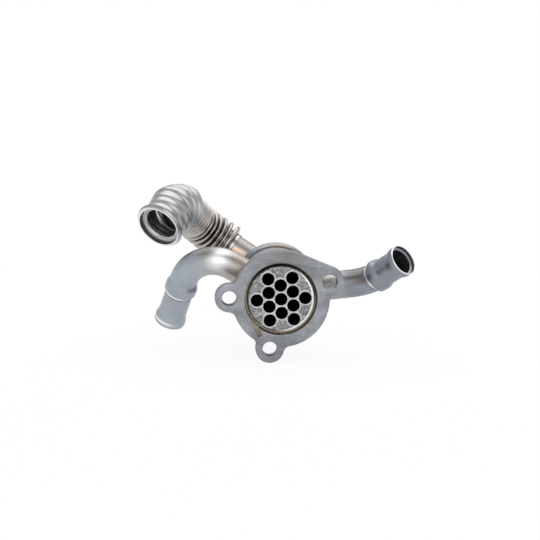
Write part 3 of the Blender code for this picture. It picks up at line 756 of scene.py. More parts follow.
def ease(share):
    """Smooth rise from 0 to 1 while the share goes from 0 to 1."""
    return (1 - cos(pi * min(1.0, max(0.0, share)))) / 2


def unit(*parts):
    return Vector(parts).normalized()


def cut_away(item, cutters, angle=30):
    """Take the cutters out of an object by exact Booleans, and return the plain, smoothed mesh."""
    for cutter in cutters:
        modifier = item.modifiers.new("cut", "BOOLEAN")
        modifier.operation = "DIFFERENCE"
        modifier.solver = "EXACT"
        modifier.object = cutter
    result = baked(item)
    for cutter in cutters:
        bpy.data.objects.remove(cutter, do_unlink=True)
    smooth_outward(result, angle)
    return result


def rod(radius, first, last, sides=48):
    """Closed cylinder between two points, for cutting."""
    first, last = Vector(first), Vector(last)
    mesh = bpy.data.meshes.new("rod")
    working = bmesh.new()
    turn = (last - first).to_track_quat("Z", "Y").to_matrix().to_4x4()
    matrix = Matrix.Translation((first + last) / 2) @ turn
    sizes = {"segments": sides, "radius1": radius, "radius2": radius, "depth": (last - first).length}
    bmesh.ops.create_cone(working, cap_ends=True, matrix=matrix, **sizes)
    working.to_mesh(mesh)
    working.free()
    return add_object("rod", mesh)


def circle_points(centre, radius, count):
    return arc_points(centre, radius, 0, 2 * pi, count)[:-1]


def flat_plate(name, outlines, half, edge=0.0, depth=0.0):
    """Upright plate between outlines, of half a thickness on both sides of a depth, with round edges."""
    curve = bpy.data.curves.new(name, "CURVE")
    curve.dimensions = "2D"
    curve.fill_mode = "BOTH"
    curve.extrude = half - edge
    curve.bevel_depth = edge
    curve.bevel_resolution = 3
    curve.offset = -edge
    for points in outlines:
        spline = curve.splines.new("POLY")
        spline.points.add(len(points) - 1)
        for point, (x, y) in zip(spline.points, points):
            point.co = (x, y, 0.0, 1.0)
        spline.use_cyclic_u = True
    plate = add_object(name, curve)
    plate.rotation_euler = (pi / 2, 0, 0)
    plate.location = (0, depth, 0)
    plate = baked(plate)
    smooth_outward(plate)
    return plate


def outward(turn, radius=1.0, depth=0.0):
    """Point at a clock angle round the bundle's axis."""
    return Vector((radius * cos(turn), depth, radius * sin(turn)))


def hoop(radius, depth, count=180):
    return [outward(2 * pi * i / count, radius, depth) for i in range(count)]


# Geometry node trees


class GeometryTree(Nodes):
    """A geometry node group with named inputs and one geometry output."""

    def __init__(self, name, inputs):
        """The inputs give each label its default, or the kind of data that it takes."""
        self.tree = bpy.data.node_groups.new(name, "GeometryNodeTree")
        face = self.tree.interface
        face.new_socket("Geometry", in_out="INPUT", socket_type="NodeSocketGeometry")
        self.keys = {}
        for label, default in {**inputs, "Material": "Material"}.items():
            kind = default if isinstance(default, str) else type(default).__name__.title()
            socket = face.new_socket(label, in_out="INPUT", socket_type=f"NodeSocket{kind}")
            if kind != default:
                socket.default_value = default
            self.keys[label] = socket.identifier
        face.new_socket("Geometry", in_out="OUTPUT", socket_type="NodeSocketGeometry")
        self.entry = self.tree.nodes.new("NodeGroupInput")
        self.exit = self.tree.nodes.new("NodeGroupOutput")

    def given(self, label):
        return Number(self, self.entry.outputs[label])

    def shape(self, kind, inputs, **settings):
        """Geometry that a node gives."""
        return self.made(f"GeometryNode{kind}", settings, inputs)

    def end(self, geometry):
        """Realize the copies, set their material and pass them out."""
        real = self.shape("RealizeInstances", {"Geometry": geometry})
        dressed = self.shape("SetMaterial", {"Geometry": real, "Material": self.given("Material")})
        self.tree.links.new(dressed, self.exit.inputs[0])
        return self

    def run(self, item, values):
        """Put the tree on an object with its input values, and return the baked mesh."""
        modifier = item.modifiers.new(self.tree.name, "NODES")
        modifier.node_group = self.tree
        for label, value in values.items():
            modifier[self.keys[label]] = value
        return baked(item)


def pattern_tree():
    """Copies of one piece on a centre and on two circles of six."""
    tree = GeometryTree("hexagon_pattern", {"Piece": "Object", "Pitch": 0.009, "Turn": 0.0})
    pitch, turn = tree.given("Pitch"), tree.given("Turn")
    joined = tree.node("GeometryNodeJoinGeometry", {}, {})
    for reach, lead in ((pitch, turn + pi / 6), (pitch * sqrt(3), turn)):
        circle = tree.shape("MeshCircle", {"Vertices": 6, "Radius": reach}, fill_type="NONE")
        around = tree.made("ShaderNodeCombineXYZ", {}, {"Z": lead})
        circle = tree.shape("Transform", {"Geometry": circle, "Rotation": around})
        tree.tree.links.new(circle, joined.inputs[0])
    tree.tree.links.new(tree.shape("MeshLine", {"Count": 1}), joined.inputs[0])
    upright = tree.shape("Transform", {"Geometry": joined.outputs[0], "Rotation": (pi / 2, 0, 0)})
    inputs = {"Object": tree.given("Piece")}
    piece = tree.made("GeometryNodeObjectInfo", {"transform_space": "RELATIVE"}, inputs, "Geometry")
    return tree.end(tree.shape("InstanceOnPoints", {"Points": upright, "Instance": piece}))


def bead_tree():
    """Weld bead: overlapping scales, one after the other along a line."""
    tree = GeometryTree("weld_bead", {"Radius": 0.001, "Spacing": 0.001, "Seed": 3})
    line = tree.shape("MeshToCurve", {"Mesh": tree.given("Geometry")})
    inputs = {"Curve": line, "Length": tree.given("Spacing")}
    points = tree.node("GeometryNodeCurveToPoints", {"mode": "LENGTH"}, inputs)
    scale = tree.shape("MeshIcoSphere", {"Radius": tree.given("Radius"), "Subdivisions": 2})
    flat = tree.shape("Transform", {"Geometry": scale, "Scale": (1.0, 1.0, 0.62)})
    inputs = {"Min": 0.86, "Max": 1.08, "Seed": tree.given("Seed")}
    size = tree.made("FunctionNodeRandomValue", {"data_type": "FLOAT"}, inputs, "Value")
    inputs = {"Rotation": points.outputs["Rotation"], "Rotate By": (0.0, 0.5, 0.0)}
    lean = tree.made("FunctionNodeRotateRotation", {"rotation_space": "LOCAL"}, inputs)
    inputs = {"Points": points.outputs["Points"], "Instance": flat, "Rotation": lean, "Scale": size}
    copies = tree.shape("RealizeInstances", {"Geometry": tree.shape("InstanceOnPoints", inputs)})
    return tree.end(tree.shape("SetShadeSmooth", {"Geometry": copies}))


def weld_along(name, points, radius, material):
    """Weld bead round a closed line of points."""
    values = {"Radius": radius, "Spacing": radius * 0.62, "Seed": 3, "Material": material}
    bead = bead_tree().run(add_object(name, thread_mesh(name, points, True)), values)
    finished(bead, None, "pipe_steel")


def bellows_tree():
    """Folded wall along a line: full, round lobes with narrow gaps between two plain cuffs."""
    inputs = {"Root": 0.01, "Crest": 0.015, "Narrowing": 0.001, "Cuff": 0.012, "First": 0.002, "Last": 0.036}
    tree = GeometryTree("folded_wall", {**inputs, "Waves": 6.0, "Fullness": 0.68, "Sides": 96})
    root, first, waves = tree.given("Root"), tree.given("First"), tree.given("Waves")
    line = tree.shape("MeshToCurve", {"Mesh": tree.given("Geometry")})
    along = tree.number("GeometryNodeSplineParameter", {}, {}, "Length")
    share = (along - first) / (tree.given("Last") - first)
    turns = share * waves
    from_top = tree.maths("ABSOLUTE", tree.maths("FRACT", turns) * 2.0 - 1.0)
    flank = tree.maths("MINIMUM", from_top / tree.given("Fullness"), 1.0)
    height = tree.maths("SQRT", 1.0 - tree.maths("POWER", flank, 3.0))
    inside = tree.maths("GREATER_THAN", share, 0.0) * tree.maths("LESS_THAN", share, 1.0)
    passed = tree.maths("FLOOR", turns) / (waves - 1.0)
    rise = (tree.given("Crest") - tree.given("Narrowing") * passed - root) * height
    step = (tree.given("Cuff") - root) * (share - 1.0).above(0.0, 0.02)
    inputs = {"Geometry": line, "Name": "rise", "Value": 1.0 - (1.0 - height) * inside}
    noted = tree.shape("StoreNamedAttribute", inputs, data_type="FLOAT", domain="POINT")
    inputs = {"Resolution": tree.given("Sides"), "Radius": 1.0}
    ring = tree.shape("CurvePrimitiveCircle", inputs, mode="RADIUS")
    inputs = {"Curve": noted, "Profile Curve": ring, "Scale": root + rise * inside + step, "Fill Caps": False}
    return tree.end(tree.shape("CurveToMesh", inputs))


# Centre lines, the same as the solids'


def coolant_line(name):
    at, depth, lead, bend, azimuth, elevation, tail = COOLANT_LINES[name]
    foot = sqrt(SHELL_HIGH.x**2 - bpy.context.scene.cooler_pipe.radius**2) - SEAT_GAP
    line = CentreLine(outward(radians(at), foot, depth), outward(radians(at)))
    line.straight(lead)
    line.bend(bend, azimuth, elevation)
    line.straight(tail)
    return line


def gas_line():
    """Centre line from the cap's neck to the cup, with the marks where pieces meet."""
    sizes = bpy.context.scene.cooler_gas
    line = CentreLine((0, CAP_HIGH.y - NECK_DEPTH, 0), (0, 1, 0))
    marks = {}
    line.straight(NECK_RUN)
    line.bend(*PIPE_BEND)
    marks["gas_end"] = line.straight(PIPE_RUN)
    marks["first_wave"] = line.straight(sizes.cuff)
    line.straight(BELLOWS_RUN)
    marks["last_wave"] = line.bend(*BELLOWS_BEND)
    marks["bellows_end"] = line.straight(sizes.cuff)
    marks["first_rib"] = line.straight(ELBOW_RUN) + sizes.rib_start
    line.bend(sizes.elbow + sizes.swell + sizes.rib + sizes.throat, *ELBOW_HEADING)
    marks["elbow_end"] = line.straight(MOUTH_RUN)
    marks["mouth"] = line.straight(sizes.recess)
    return line, marks


# Flange


def ear_sides(angle, body, sizes):
    """Angles and centres of the two fillets that join an ear to the body."""
    reach = body + sizes.fillet
    ear_reach = sizes.ear + sizes.fillet
    spread = acos((reach**2 + sizes.bolt_circle**2 - ear_reach**2) / (2 * reach * sizes.bolt_circle))
    ear = Vector((cos(angle), sin(angle))) * sizes.bolt_circle
    sides = []
    for turn in (angle - spread, angle + spread):
        centre = Vector((cos(turn), sin(turn))) * reach
        sides.append((turn, centre, atan2(centre.y - ear.y, centre.x - ear.x)))
    return ear, sides


def past(angle, after):
    """The same direction as an angle, at or past another angle."""
    while angle < after:
        angle += 2 * pi
    while angle - 2 * pi >= after:
        angle -= 2 * pi
    return angle


def fine_arc(centre, radius, first, last):
    steps = max(3, round(abs(last - first) / radians(3)))
    return arc_points(centre, radius, first, last, steps)[:-1]


def flange_outline(sizes, angles):
    """Body circle with three ears and one straight edge over the first of them."""
    body = sizes.bore + sizes.land
    points = []
    straight = angles[0] + acos((body - sizes.ear) / sizes.bolt_circle)
    body_from = straight
    order = (*angles[1:], angles[0] + 2 * pi)
    for number, angle in enumerate(order):
        ear, ((turn_in, centre_in, ear_in), (turn_out, centre_out, ear_out)) = ear_sides(angle, body, sizes)
        points += fine_arc((0, 0), body, body_from, turn_in)
        points += fine_arc(centre_in, sizes.fillet, turn_in + pi, past(ear_in + pi, turn_in))
        ear_start = past(ear_in, angle - pi)
        if number == len(order) - 1:
            points += fine_arc(ear, sizes.ear, ear_start, straight + 2 * pi)
            points.append((ear.x + sizes.ear * cos(straight), ear.y + sizes.ear * sin(straight)))
            continue
        points += fine_arc(ear, sizes.ear, ear_start, past(ear_out, ear_start))
        points += fine_arc(centre_out, sizes.fillet, past(ear_out, ear_start) + pi, turn_out + pi)
        body_from = turn_out
    return points


class CoolerFlange(bpy.types.Operator):
    """Make the ground mounting flange with its ears, bolt holes, bore and groove"""

    bl_idname = "cooler.flange"
    bl_label = "Flange"

    def execute(self, context):
        sizes = context.scene.cooler_flange
        finish = context.scene.cooler_finish
        thickness = FLANGE_HIGH.y - FLANGE_LOW.y
        angles = (sizes.right_ear, sizes.left_ear, sizes.lower_ear)
        outlines = [flange_outline(sizes, angles), circle_points((0, 0), sizes.bore, 144)]
        for angle in angles:
            ear = (sizes.bolt_circle * cos(angle), sizes.bolt_circle * sin(angle))
            outlines.append(circle_points(ear, sizes.bolt_hole, 64))
        plate = flat_plate("flange_plate", outlines, thickness / 2, sizes.edge, thickness / 2)
        seat = rod(SHELL_HIGH.x + SEAT_GAP, (0, SHELL_LOW.y - SEAT_GAP, 0), (0, thickness * 2, 0), 144)
        plate = cut_away(plate, [self.groove(sizes), seat])
        finished(plate, plate_finish(finish), "plate_steel", "flange")
        plate.data.materials.append(bore_finish())
        self.darken_bore(plate, sizes)
        return {"FINISHED"}

    def groove(self, sizes):
        """Round-ended cutter that leads out of the bore towards the lower ear."""
        start, end = Vector((-0.0185, -0.0125)), Vector((-0.0143, -0.0234))
        run = end - start
        sideways = atan2(run.y, run.x) - pi / 2
        narrow, taper, steps = sizes.slot_width / 2, 1.15, 14
        outline = arc_points(end, narrow, sideways, sideways + pi, steps)
        outline += arc_points(start, narrow * taper, sideways + pi, sideways + 2 * pi, steps)
        return flat_plate("groove", [outline], sizes.slot_depth)

    def darken_bore(self, plate, sizes):
        """Give the wall of the bore and the groove their oxide."""
        groove, reach = Vector((-0.0150, -0.0205)), 0.0065
        front, back, steep = 0.0002, FLANGE_HIGH.y - 0.0005, 0.6
        for face in plate.data.polygons:
            centre = face.center
            inner = hypot(centre.x, centre.z) < sizes.bore + sizes.edge * 0.6
            wall = inner and abs(face.normal.y) < steep and centre.y > sizes.edge * 0.8
            near = (Vector((centre.x, centre.z)) - groove).length < reach
            if wall or (near and front < centre.y < back):
                face.material_index = 1


class CoolerSheets(bpy.types.Operator):
    """Make the two pressed tube sheets with their holes"""

    bl_idname = "cooler.sheets"
    bl_label = "Tube sheets"

    def execute(self, context):
        sizes = context.scene.cooler_bundle
        film = braze_finish(context.scene.cooler_finish)
        flange = context.scene.cooler_flange
        radius = flange.bore - flange.moat
        self.sheet(sizes, film, "front", radius, sizes.recess, flange.bore - SEAT_GAP)
        self.sheet(sizes, film, "rear", SHEET_HIGH.x, SHEET_LOW.y, 0.0)
        return {"FINISHED"}

    def sheet(self, sizes, film, end, radius, face, foot):
        """Dish of a radius, with a foot turned out from its skirt where the foot is wider."""
        back = face + sizes.skirt
        wall = sizes.gauge
        centre = (radius - sizes.corner, face + sizes.corner)
        middle, clearance, chamfer = 0.00001, 0.00005, 0.0004
        profile = [(middle, face + wall)]
        profile += arc_points(centre, sizes.corner - wall, -pi / 2, 0, 4)
        profile += [(radius - wall, back)]
        if foot > radius:
            top = back - wall
            profile += [(foot, back), (foot, top), (radius + chamfer, top), (radius, top - chamfer)]
        else:
            profile += [(radius, back)]
        profile += arc_points(centre, sizes.corner, 0, -pi / 2, 10)
        profile += [(middle, face)]
        dish = turned_piece(f"{end}_sheet", profile, 144)
        hole = sizes.bore / 2 + sizes.wall + clearance
        rods = [rod(hole, (x, face - 0.002, z), (x, back, z), 40) for x, z in lattice(sizes)]
        joined = rods[0]
        with bpy.context.temp_override(active_object=joined, selected_editable_objects=rods):
            bpy.ops.object.join()
        finished(cut_away(dish, [joined]), film, "brazed_steel", f"{end}_tube_sheet")


def lattice(sizes):
    """Centres of the tubes as (x, z): one, and six on each of two circles."""
    places = [(0.0, 0.0)]
    for circle, first in ((1.0, pi / 6), (sqrt(3), 0.0)):
        for i in range(6):
            angle = sizes.turn + first + i * pi / 3
            places.append((circle * sizes.pitch * cos(angle), circle * sizes.pitch * sin(angle)))
    return places


class CoolerTubes(bpy.types.Operator):
    """Make the gas tubes and the braze fillets round their ends"""

    bl_idname = "cooler.tubes"
    bl_label = "Gas tubes"

    def execute(self, context):
        sizes = context.scene.cooler_bundle
        finish = context.scene.cooler_finish
        inner = sizes.bore / 2
        outer = inner + sizes.wall
        front, back = TUBE_LOW.y, TUBE_HIGH.y
        lip = sizes.wall / 2
        section = [(outer, back - lip)]
        section += [(outer, y) for y in reversed(evenly(front + lip, back - lip, 0.006)[:-1])]
        section += arc_points((inner + lip, front + lip), lip, 0, -pi, 6)[1:]
        section += [(inner, y) for y in evenly(front + lip, back - lip, 0.006)[1:]]
        section += arc_points((inner + lip, back - lip), lip, pi, 0, 6)[1:-1]
        tube = turned_piece("tube", section, 48)
        nodes = sorted(name for name in frame["nodes"] if name.startswith("gas_tube_"))
        tubes = self.spread(tube, sizes, "gas_tubes", tube_finish(finish))
        finished(tubes, None, "bright_steel", *nodes)
        braze = bright_finish(finish, "braze_fillet", 1.60)
        fillets = self.spread(self.fillet(sizes, outer), sizes, "braze_fillets", braze)
        finished(fillets, None, "brazed_steel")
        return {"FINISHED"}

    def fillet(self, sizes, outer):
        """Hollow ring of braze between a tube's wall and the sheet's face."""
        reach = sizes.stand_out * 0.9
        face = sizes.recess
        hollow = arc_points((outer + reach, face - reach), reach * 0.96, pi, pi / 2, 8)
        inner, sunk = outer - 0.0001, face + 0.0002
        profile = [(inner, face - reach * 0.8), *hollow, (outer + reach, sunk), (inner, sunk)]
        return turned_piece("fillet", profile, 48)

    def spread(self, piece, sizes, name, material):
        holder = add_object(name, bpy.data.meshes.new(name))
        values = {"Piece": piece, "Pitch": sizes.pitch, "Turn": sizes.turn, "Material": material}
        result = pattern_tree().run(holder, values)
        bpy.data.objects.remove(piece, do_unlink=True)
        smooth_outward(result)
        return result


class CoolerShell(bpy.types.Operator):
    """Make the shell with its two ports and the welds round them"""

    bl_idname = "cooler.shell"
    bl_label = "Shell"

    def execute(self, context):
        sizes = context.scene.cooler_shell
        pipe = context.scene.cooler_pipe
        finish = context.scene.cooler_finish
        outer = SHELL_HIGH.x
        inner = outer - sizes.wall
        front, back = SHELL_LOW.y, SHELL_HIGH.y
        profile = [(outer, y) for y in reversed(evenly(front, back, 0.004))]
        profile += [(inner, y) for y in evenly(front, back, 0.004)]
        shell = turned_piece("shell_tube", profile, 144)
        ports = {name: (radians(at), depth) for name, (at, depth, *_) in COOLANT_LINES.items()}
        cutters = []
        for at, depth in ports.values():
            ends = [outward(at, reach, depth) for reach in (inner * 0.7, outer * 1.2)]
            cutters.append(rod(pipe.radius - pipe.wall, *ends, 64))
        shell = cut_away(shell, cutters)
        hot = [((0, front, outer), 0.010)]
        finished(shell, pipe_finish(finish, "shell_steel", hot), "pipe_steel", "shell")
        metal = weld_finish()
        for name, port in ports.items():
            line = self.saddle(*port, outer, pipe.radius + sizes.bead * 0.3)
            weld_along(f"{name}_port_weld", line, sizes.bead, metal)
        lift = sizes.bead * 0.2
        weld_along("flange_weld", hoop(outer + lift, FLANGE_HIGH.y + lift), sizes.bead, metal)
        return {"FINISHED"}

    def saddle(self, at, depth, shell, radius):
        """Line on the shell round a pipe that meets it."""
        points = []
        for across, along in circle_points((0, 0), radius, 120):
            on_shell = outward(at, sqrt(shell**2 - along**2), depth + across)
            points.append(on_shell + outward(at + pi / 2, along))
        return points


class CoolerCap(bpy.types.Operator):
    """Make the pressed rear cap and the welds at its skirt and neck"""

    bl_idname = "cooler.cap"
    bl_label = "Rear cap"

    def execute(self, context):
        sizes = context.scene.cooler_shell
        gas = context.scene.cooler_gas
        finish = context.scene.cooler_finish
        wall = sizes.cap_wall
        skirt = CAP_HIGH.x
        bore = skirt - wall
        neck_bore = gas.radius + SEAT_GAP
        neck = neck_bore + wall
        back, front = CAP_HIGH.y, CAP_LOW.y
        neck_front = back - sizes.neck
        centre = (skirt - sizes.shoulder, SHELL_HIGH.y)
        blend, chamfer, rim, spacing = 0.0025, 0.0002, 0.0012, 0.0025
        profile = [(neck, back - chamfer), (neck, neck_front + blend)]
        profile += arc_points((neck + blend, neck_front + blend), blend, pi, pi * 1.28, 6)
        profile += arc_points(centre, sizes.shoulder, pi * 0.42, 0, 14)
        profile += [(skirt, y) for y in evenly(SHELL_HIGH.y, front + rim, spacing)[1:]]
        profile += [(skirt + chamfer, front + rim / 2), (skirt - chamfer / 2, front + chamfer / 2)]
        profile += [(bore + chamfer, front), (bore, front + 0.0003)]
        profile += arc_points(centre, sizes.shoulder - wall, 0, pi * 0.42, 8)
        profile += [(neck_bore, neck_front), (neck_bore, back - chamfer)]
        profile += [(neck_bore + chamfer, back), (neck - chamfer, back)]
        cap = turned_piece("cap_pressing", profile, 144)
        hot = [((0, front, skirt), 0.009), ((0, back, 0), 0.016)]
        finished(cap, pipe_finish(finish, "cap_steel", hot, 0.72), "pipe_steel", "rear_cap")
        metal = weld_finish()
        weld_along("skirt_weld", hoop(SHELL_HIGH.x + sizes.bead * 0.4, front), sizes.bead, metal)
        weld_along("neck_weld", hoop(gas.radius + sizes.bead * 0.5, back), sizes.bead, metal)
        return {"FINISHED"}


class CoolerCoolantPipes(bpy.types.Operator):
    """Make the two bent coolant pipes with their collars and end beads"""

    bl_idname = "cooler.coolant_pipes"
    bl_label = "Coolant pipes"

    def execute(self, context):
        sizes = context.scene.cooler_pipe
        finish = context.scene.cooler_finish
        self.pipe(sizes, finish, "left", sizes.left_foot, 1)
        self.pipe(sizes, finish, "right", sizes.right_foot, -1)
        return {"FINISHED"}

    def pipe(self, sizes, finish, name, foot, side):
        """The side is 1 where the collar rises towards the shell, and -1 towards the end."""
        line = coolant_line(name)
        end = line.length
        collar_length = sizes.step + sizes.crown + sizes.run_out

        def radius_at(mark):
            from_end = end - mark
            past_foot = (from_end - foot) * side
            collar = ease(past_foot / sizes.step) * ease((collar_length - past_foot) / sizes.run_out)
            radius = sizes.radius + sizes.collar * collar
            if from_end > sizes.crest:
                rise = ease((sizes.bead_length - from_end) / (sizes.bead_length - sizes.crest))
                return radius + sizes.bead * rise
            return radius + sizes.bead - sizes.curl * (1 - from_end / sizes.crest) ** 2

        bead, lip, clip = end - sizes.bead_length, 0.0006, 0.0001
        plain = evenly(0, bead, 0.0004)
        outside = [(mark, radius_at(mark)) for mark in (*plain, *evenly(bead, end - lip, 0.0003)[1:])]
        rim = radius_at(end)
        turns = (1.2, 0.8, 0.4, 0.0)
        outside += [(end - lip * (1 - cos(turn)), rim - lip * (1 - sin(turn))) for turn in turns]
        mouth = rim + sizes.curl - sizes.mouth_wall
        bore = sizes.radius - sizes.wall
        floor = end - sizes.mouth_depth
        back = floor - sizes.mouth_step
        inside = [(mark, radius_at(mark) - sizes.wall) for mark in plain]
        inside += [(back, bore), (back + clip, bore + clip), (floor, mouth - 2 * clip)]
        inside += [(floor + 2 * clip, mouth), (end - 3 * clip, mouth), (end - clip, mouth + clip)]
        scale = soot_finish(finish)
        steel = self.steel(sizes, finish, name, line, foot)
        pipe = wall_piece(f"{name}_pipe", line, outside, inside, 96, steel, scale, back + 2 * clip)
        shell = rod(SHELL_HIGH.x + 0.0002, (0, SHELL_LOW.y, 0), (0, SHELL_HIGH.y, 0), 144)
        finished(cut_away(pipe, [shell], 40), None, "pipe_steel", f"{name}_coolant_pipe")

    def steel(self, sizes, finish, name, line, foot):
        """Pipe steel with painted highlights at the collar, the bead and the left bend, and a painted brown
        shade on top.
        """
        end = line.length
        heading = line.frame(end)[1]
        left = unit(-0.75, -0.60, -0.30)

        def near_end(distance):
            return line.frame(end - distance)[0]

        if name == "left":
            # On the left pipe the heat tint reaches far from the weld and also stands in for a painted warm
            # reflection near the flange.
            tone, heat = 1.0, 0.024
            shade_mark, shade_reach, shade_begins = 0.0275, 0.0170, 0.0042
            # Painted highlights: at the collar's foot, on the bead's crest and a broad one on the bend.
            painted_highlights = [
                (near_end(foot - 0.0003), heading, 0.0011, left, 0.0),
                (near_end(sizes.crest - 0.0002), heading, 0.0016, unit(-0.70, -0.66, -0.28), 0.0035),
                (*line.frame(0.0215)[:2], 0.0105, unit(0.05, -0.93, 0.36), 0.0028),
            ]
            dark_rings = near_end(foot - 0.0014)
        else:
            # Painted shade: the right pipe is laid darker than the left, though they are alike.
            tone, heat = 0.72, 0.014
            shade_mark, shade_reach, shade_begins = end - foot - 0.0125, 0.0135, -0.0012
            # Painted highlights at the collar's foot and at the end.
            painted_highlights = [
                (near_end(foot - 0.0009), heading, 0.0009, left, -0.004),
                (near_end(0.0002), heading, 0.0006, left, -0.004),
            ]
            dark_rings = near_end(foot + 0.0005)
        # Painted shade on the upper side: on the left pipe it stands for the bellows' dark reflection, on the
        # right for shade between the flange and the collar.
        place, ahead, _across = line.frame(shade_mark)
        above = (Vector((0, 0, 1)) - ahead * ahead.z).normalized()
        brown = [(place, ahead, shade_reach, above, shade_begins, (0.135, 0.126, 0.112))]
        hot = [(line.frame(0.004)[0], heat)]
        dark_rings = [(dark_rings, heading, 0.0006)]
        return pipe_finish(finish, f"{name}_pipe_steel", hot, tone, painted_highlights, dark_rings, brown)


class CoolerGasPipe(bpy.types.Operator):
    """Make the plain bent pipe between the cap and the bellows"""

    bl_idname = "cooler.gas_pipe"
    bl_label = "Gas pipe"

    def execute(self, context):
        sizes = context.scene.cooler_gas
        line, marks = gas_line()
        stations = evenly(0, marks["first_wave"] - SEAT_GAP, 0.0009)
        outside, inside = even_wall(stations, lambda mark: sizes.radius, sizes.wall)
        finish = context.scene.cooler_finish
        hot = [(line.frame(0.004)[0], 0.016), (line.frame(marks["gas_end"])[0], 0.016)]
        # Straw heat tint by the bellows weld, laid only on the lower front-left side, where it also stands in
        # for a painted warm reflection.
        place, ahead, _across = line.frame(marks["gas_end"] - 0.0030)
        straw = [(place, ahead, 0.0120, unit(-0.35, -0.80, -0.48), 0.0045, (0.80, 0.60, 0.42))]
        steel = pipe_finish(finish, "gas_pipe_steel", hot, 0.78, patches=straw)
        scale = soot_finish(finish)
        pipe = wall_piece("gas_pipe_tube", line, outside, inside, 72, steel, scale, marks["first_wave"])
        finished(pipe, None, "pipe_steel", "gas_pipe")
        return {"FINISHED"}


class CoolerBellows(bpy.types.Operator):
    """Make the bellows as one folded wall of thin foil"""

    bl_idname = "cooler.bellows"
    bl_label = "Bellows"

    def execute(self, context):
        sizes = context.scene.cooler_gas
        finish = context.scene.cooler_finish
        line, marks = gas_line()
        first = marks["gas_end"]
        path = [line.frame(mark)[0] for mark in evenly(first, marks["bellows_end"], 0.00011)]
        thread = add_object("bellows_foil", thread_mesh("bellows_foil", path, False))
        values = {
            "Root": sizes.radius + SEAT_GAP + sizes.foil,
            "Crest": sizes.crest,
            "Narrowing": sizes.crest - sizes.last_crest,
            "Cuff": sizes.elbow - sizes.elbow_wall - SEAT_GAP,
            "First": marks["first_wave"] - first,
            "Last": marks["last_wave"] - first,
            "Waves": float(sizes.waves),
            "Fullness": sizes.fullness,
            "Sides": 80,
            "Material": bellows_finish(finish),
        }
        bellows = bellows_tree().run(thread, values)
        smooth_outward(bellows)
        solid = bellows.modifiers.new("wall", "SOLIDIFY")
        solid.thickness = sizes.foil
        solid.offset = -1.0
        bellows = baked(bellows)
        bellows.data.shade_smooth()
        finished(bellows, None, "bright_steel", "bellows")
        bead = 0.0003
        weld_along("bellows_weld", line.ring(first, sizes.radius + bead, 150), bead, weld_finish())
        return {"FINISHED"}


class CoolerElbow(bpy.types.Operator):
    """Make the ribbed elbow with its necked ring"""

    bl_idname = "cooler.elbow"
    bl_label = "Elbow"

    def execute(self, context):
        sizes = context.scene.cooler_gas
        line, marks = gas_line()
        first, end = marks["first_rib"], marks["elbow_end"]
        narrow = sizes.rib_pitch * sizes.ribs
        neck = end - 0.0025
        neck_rise, swell_rise, flare_run, ridge_start = 0.0015, 0.0012, 0.0022, 0.0006
        wobble, along_scale, round_scale = 0.00014, 90, 1.4

        def radius_at(mark):
            if mark > neck:
                return sizes.elbow + (sizes.ring - sizes.elbow) * ease((mark - neck) / neck_rise)
            along = mark - first
            ridges = (mark - marks["bellows_end"] - ridge_start) / sizes.ridge_pitch
            if 0 < ridges < sizes.ridges:
                return sizes.elbow + sizes.ridge * (1 - cos(2 * pi * ridges)) / 2
            if along <= 0 or along >= narrow + sizes.last_rib:
                return sizes.elbow
            share = along / sizes.rib_pitch if along < narrow else (along - narrow) / sizes.last_rib
            valley = ((1 + cos(2 * pi * share)) / 2) ** 3
            swell = sizes.swell * ease((narrow + sizes.fall - along) / sizes.fall) * ease(along / swell_rise)
            return sizes.elbow + swell + sizes.rib * (1 - valley)

        def uneven(mark, angle):
            inside = ease(2 - 2 * abs(mark - first - narrow / 2) / narrow)
            place = Vector((mark * along_scale, cos(angle) * round_scale, sin(angle) * round_scale))
            return wobble * inside * noise.noise(place)

        stations = evenly(marks["last_wave"] + SEAT_GAP, end, 0.00028)
        outside, inside = even_wall(stations, radius_at, sizes.elbow_wall)
        inside = [(mark, bore + sizes.flare * ease((mark - end) / flare_run + 1)) for mark, bore in inside]
        finish = context.scene.cooler_finish
        warm = line.frame(marks["bellows_end"] + 0.004)[0]
        # Painted highlight on the ring's rim; inside the elbow, painted shade and highlight rings 7.2 mm in.
        steel = bright_finish(finish, "elbow_steel", 0.90, 1.65, line.frame(end)[:2], warm)
        throat = throat_finish(line.frame(end - 0.0072)[:2])
        elbow = wall_piece("elbow_tube", line, outside, inside, 120, steel, throat, end - 0.0030, uneven)
        finished(elbow, None, "bright_steel", "elbow")
        return {"FINISHED"}


class CoolerCup(bpy.types.Operator):
    """Make the inlet cup with its rolled lip"""

    bl_idname = "cooler.cup"
    bl_label = "Inlet cup"

    def execute(self, context):
        sizes = context.scene.cooler_gas
        line, marks = gas_line()
        place, heading, _across = line.frame(marks["mouth"])
        bore = sizes.elbow + SEAT_GAP
        outer = bore + 2 * sizes.lip
        depth = sizes.cup_depth
        wall, chamfer, lip_round = 0.0010, 0.0002, 0.0006
        crest = bore + 0.0009
        collar = bore + wall
        profile = [(collar, depth - chamfer), (collar, depth - 0.0016), (collar + 0.0004, depth - 0.0024)]
        rim = [(0.0009, 0.0036), (0.0002, 0.0029), (0.0, 0.0024)]
        rim += [(0.0002, 0.0018), (0.0008, 0.0009), (0.0015, 0.0003)]
        profile += [(outer - inset, along) for inset, along in rim]
        profile += arc_points((crest, lip_round), lip_round, -pi * 0.35, -pi, 8)
        profile += [(bore + 0.0001, 0.0014), (bore, 0.0020), (bore, depth - chamfer)]
        profile += [(bore + chamfer, depth), (bore + 0.0008, depth)]
        cup = turned_piece("cup_pressing", profile, 120, place, -heading)
        steel = cup_finish(context.scene.cooler_finish, place, crest)
        finished(cup, steel, "bright_steel", "inlet_cup")
        return {"FINISHED"}


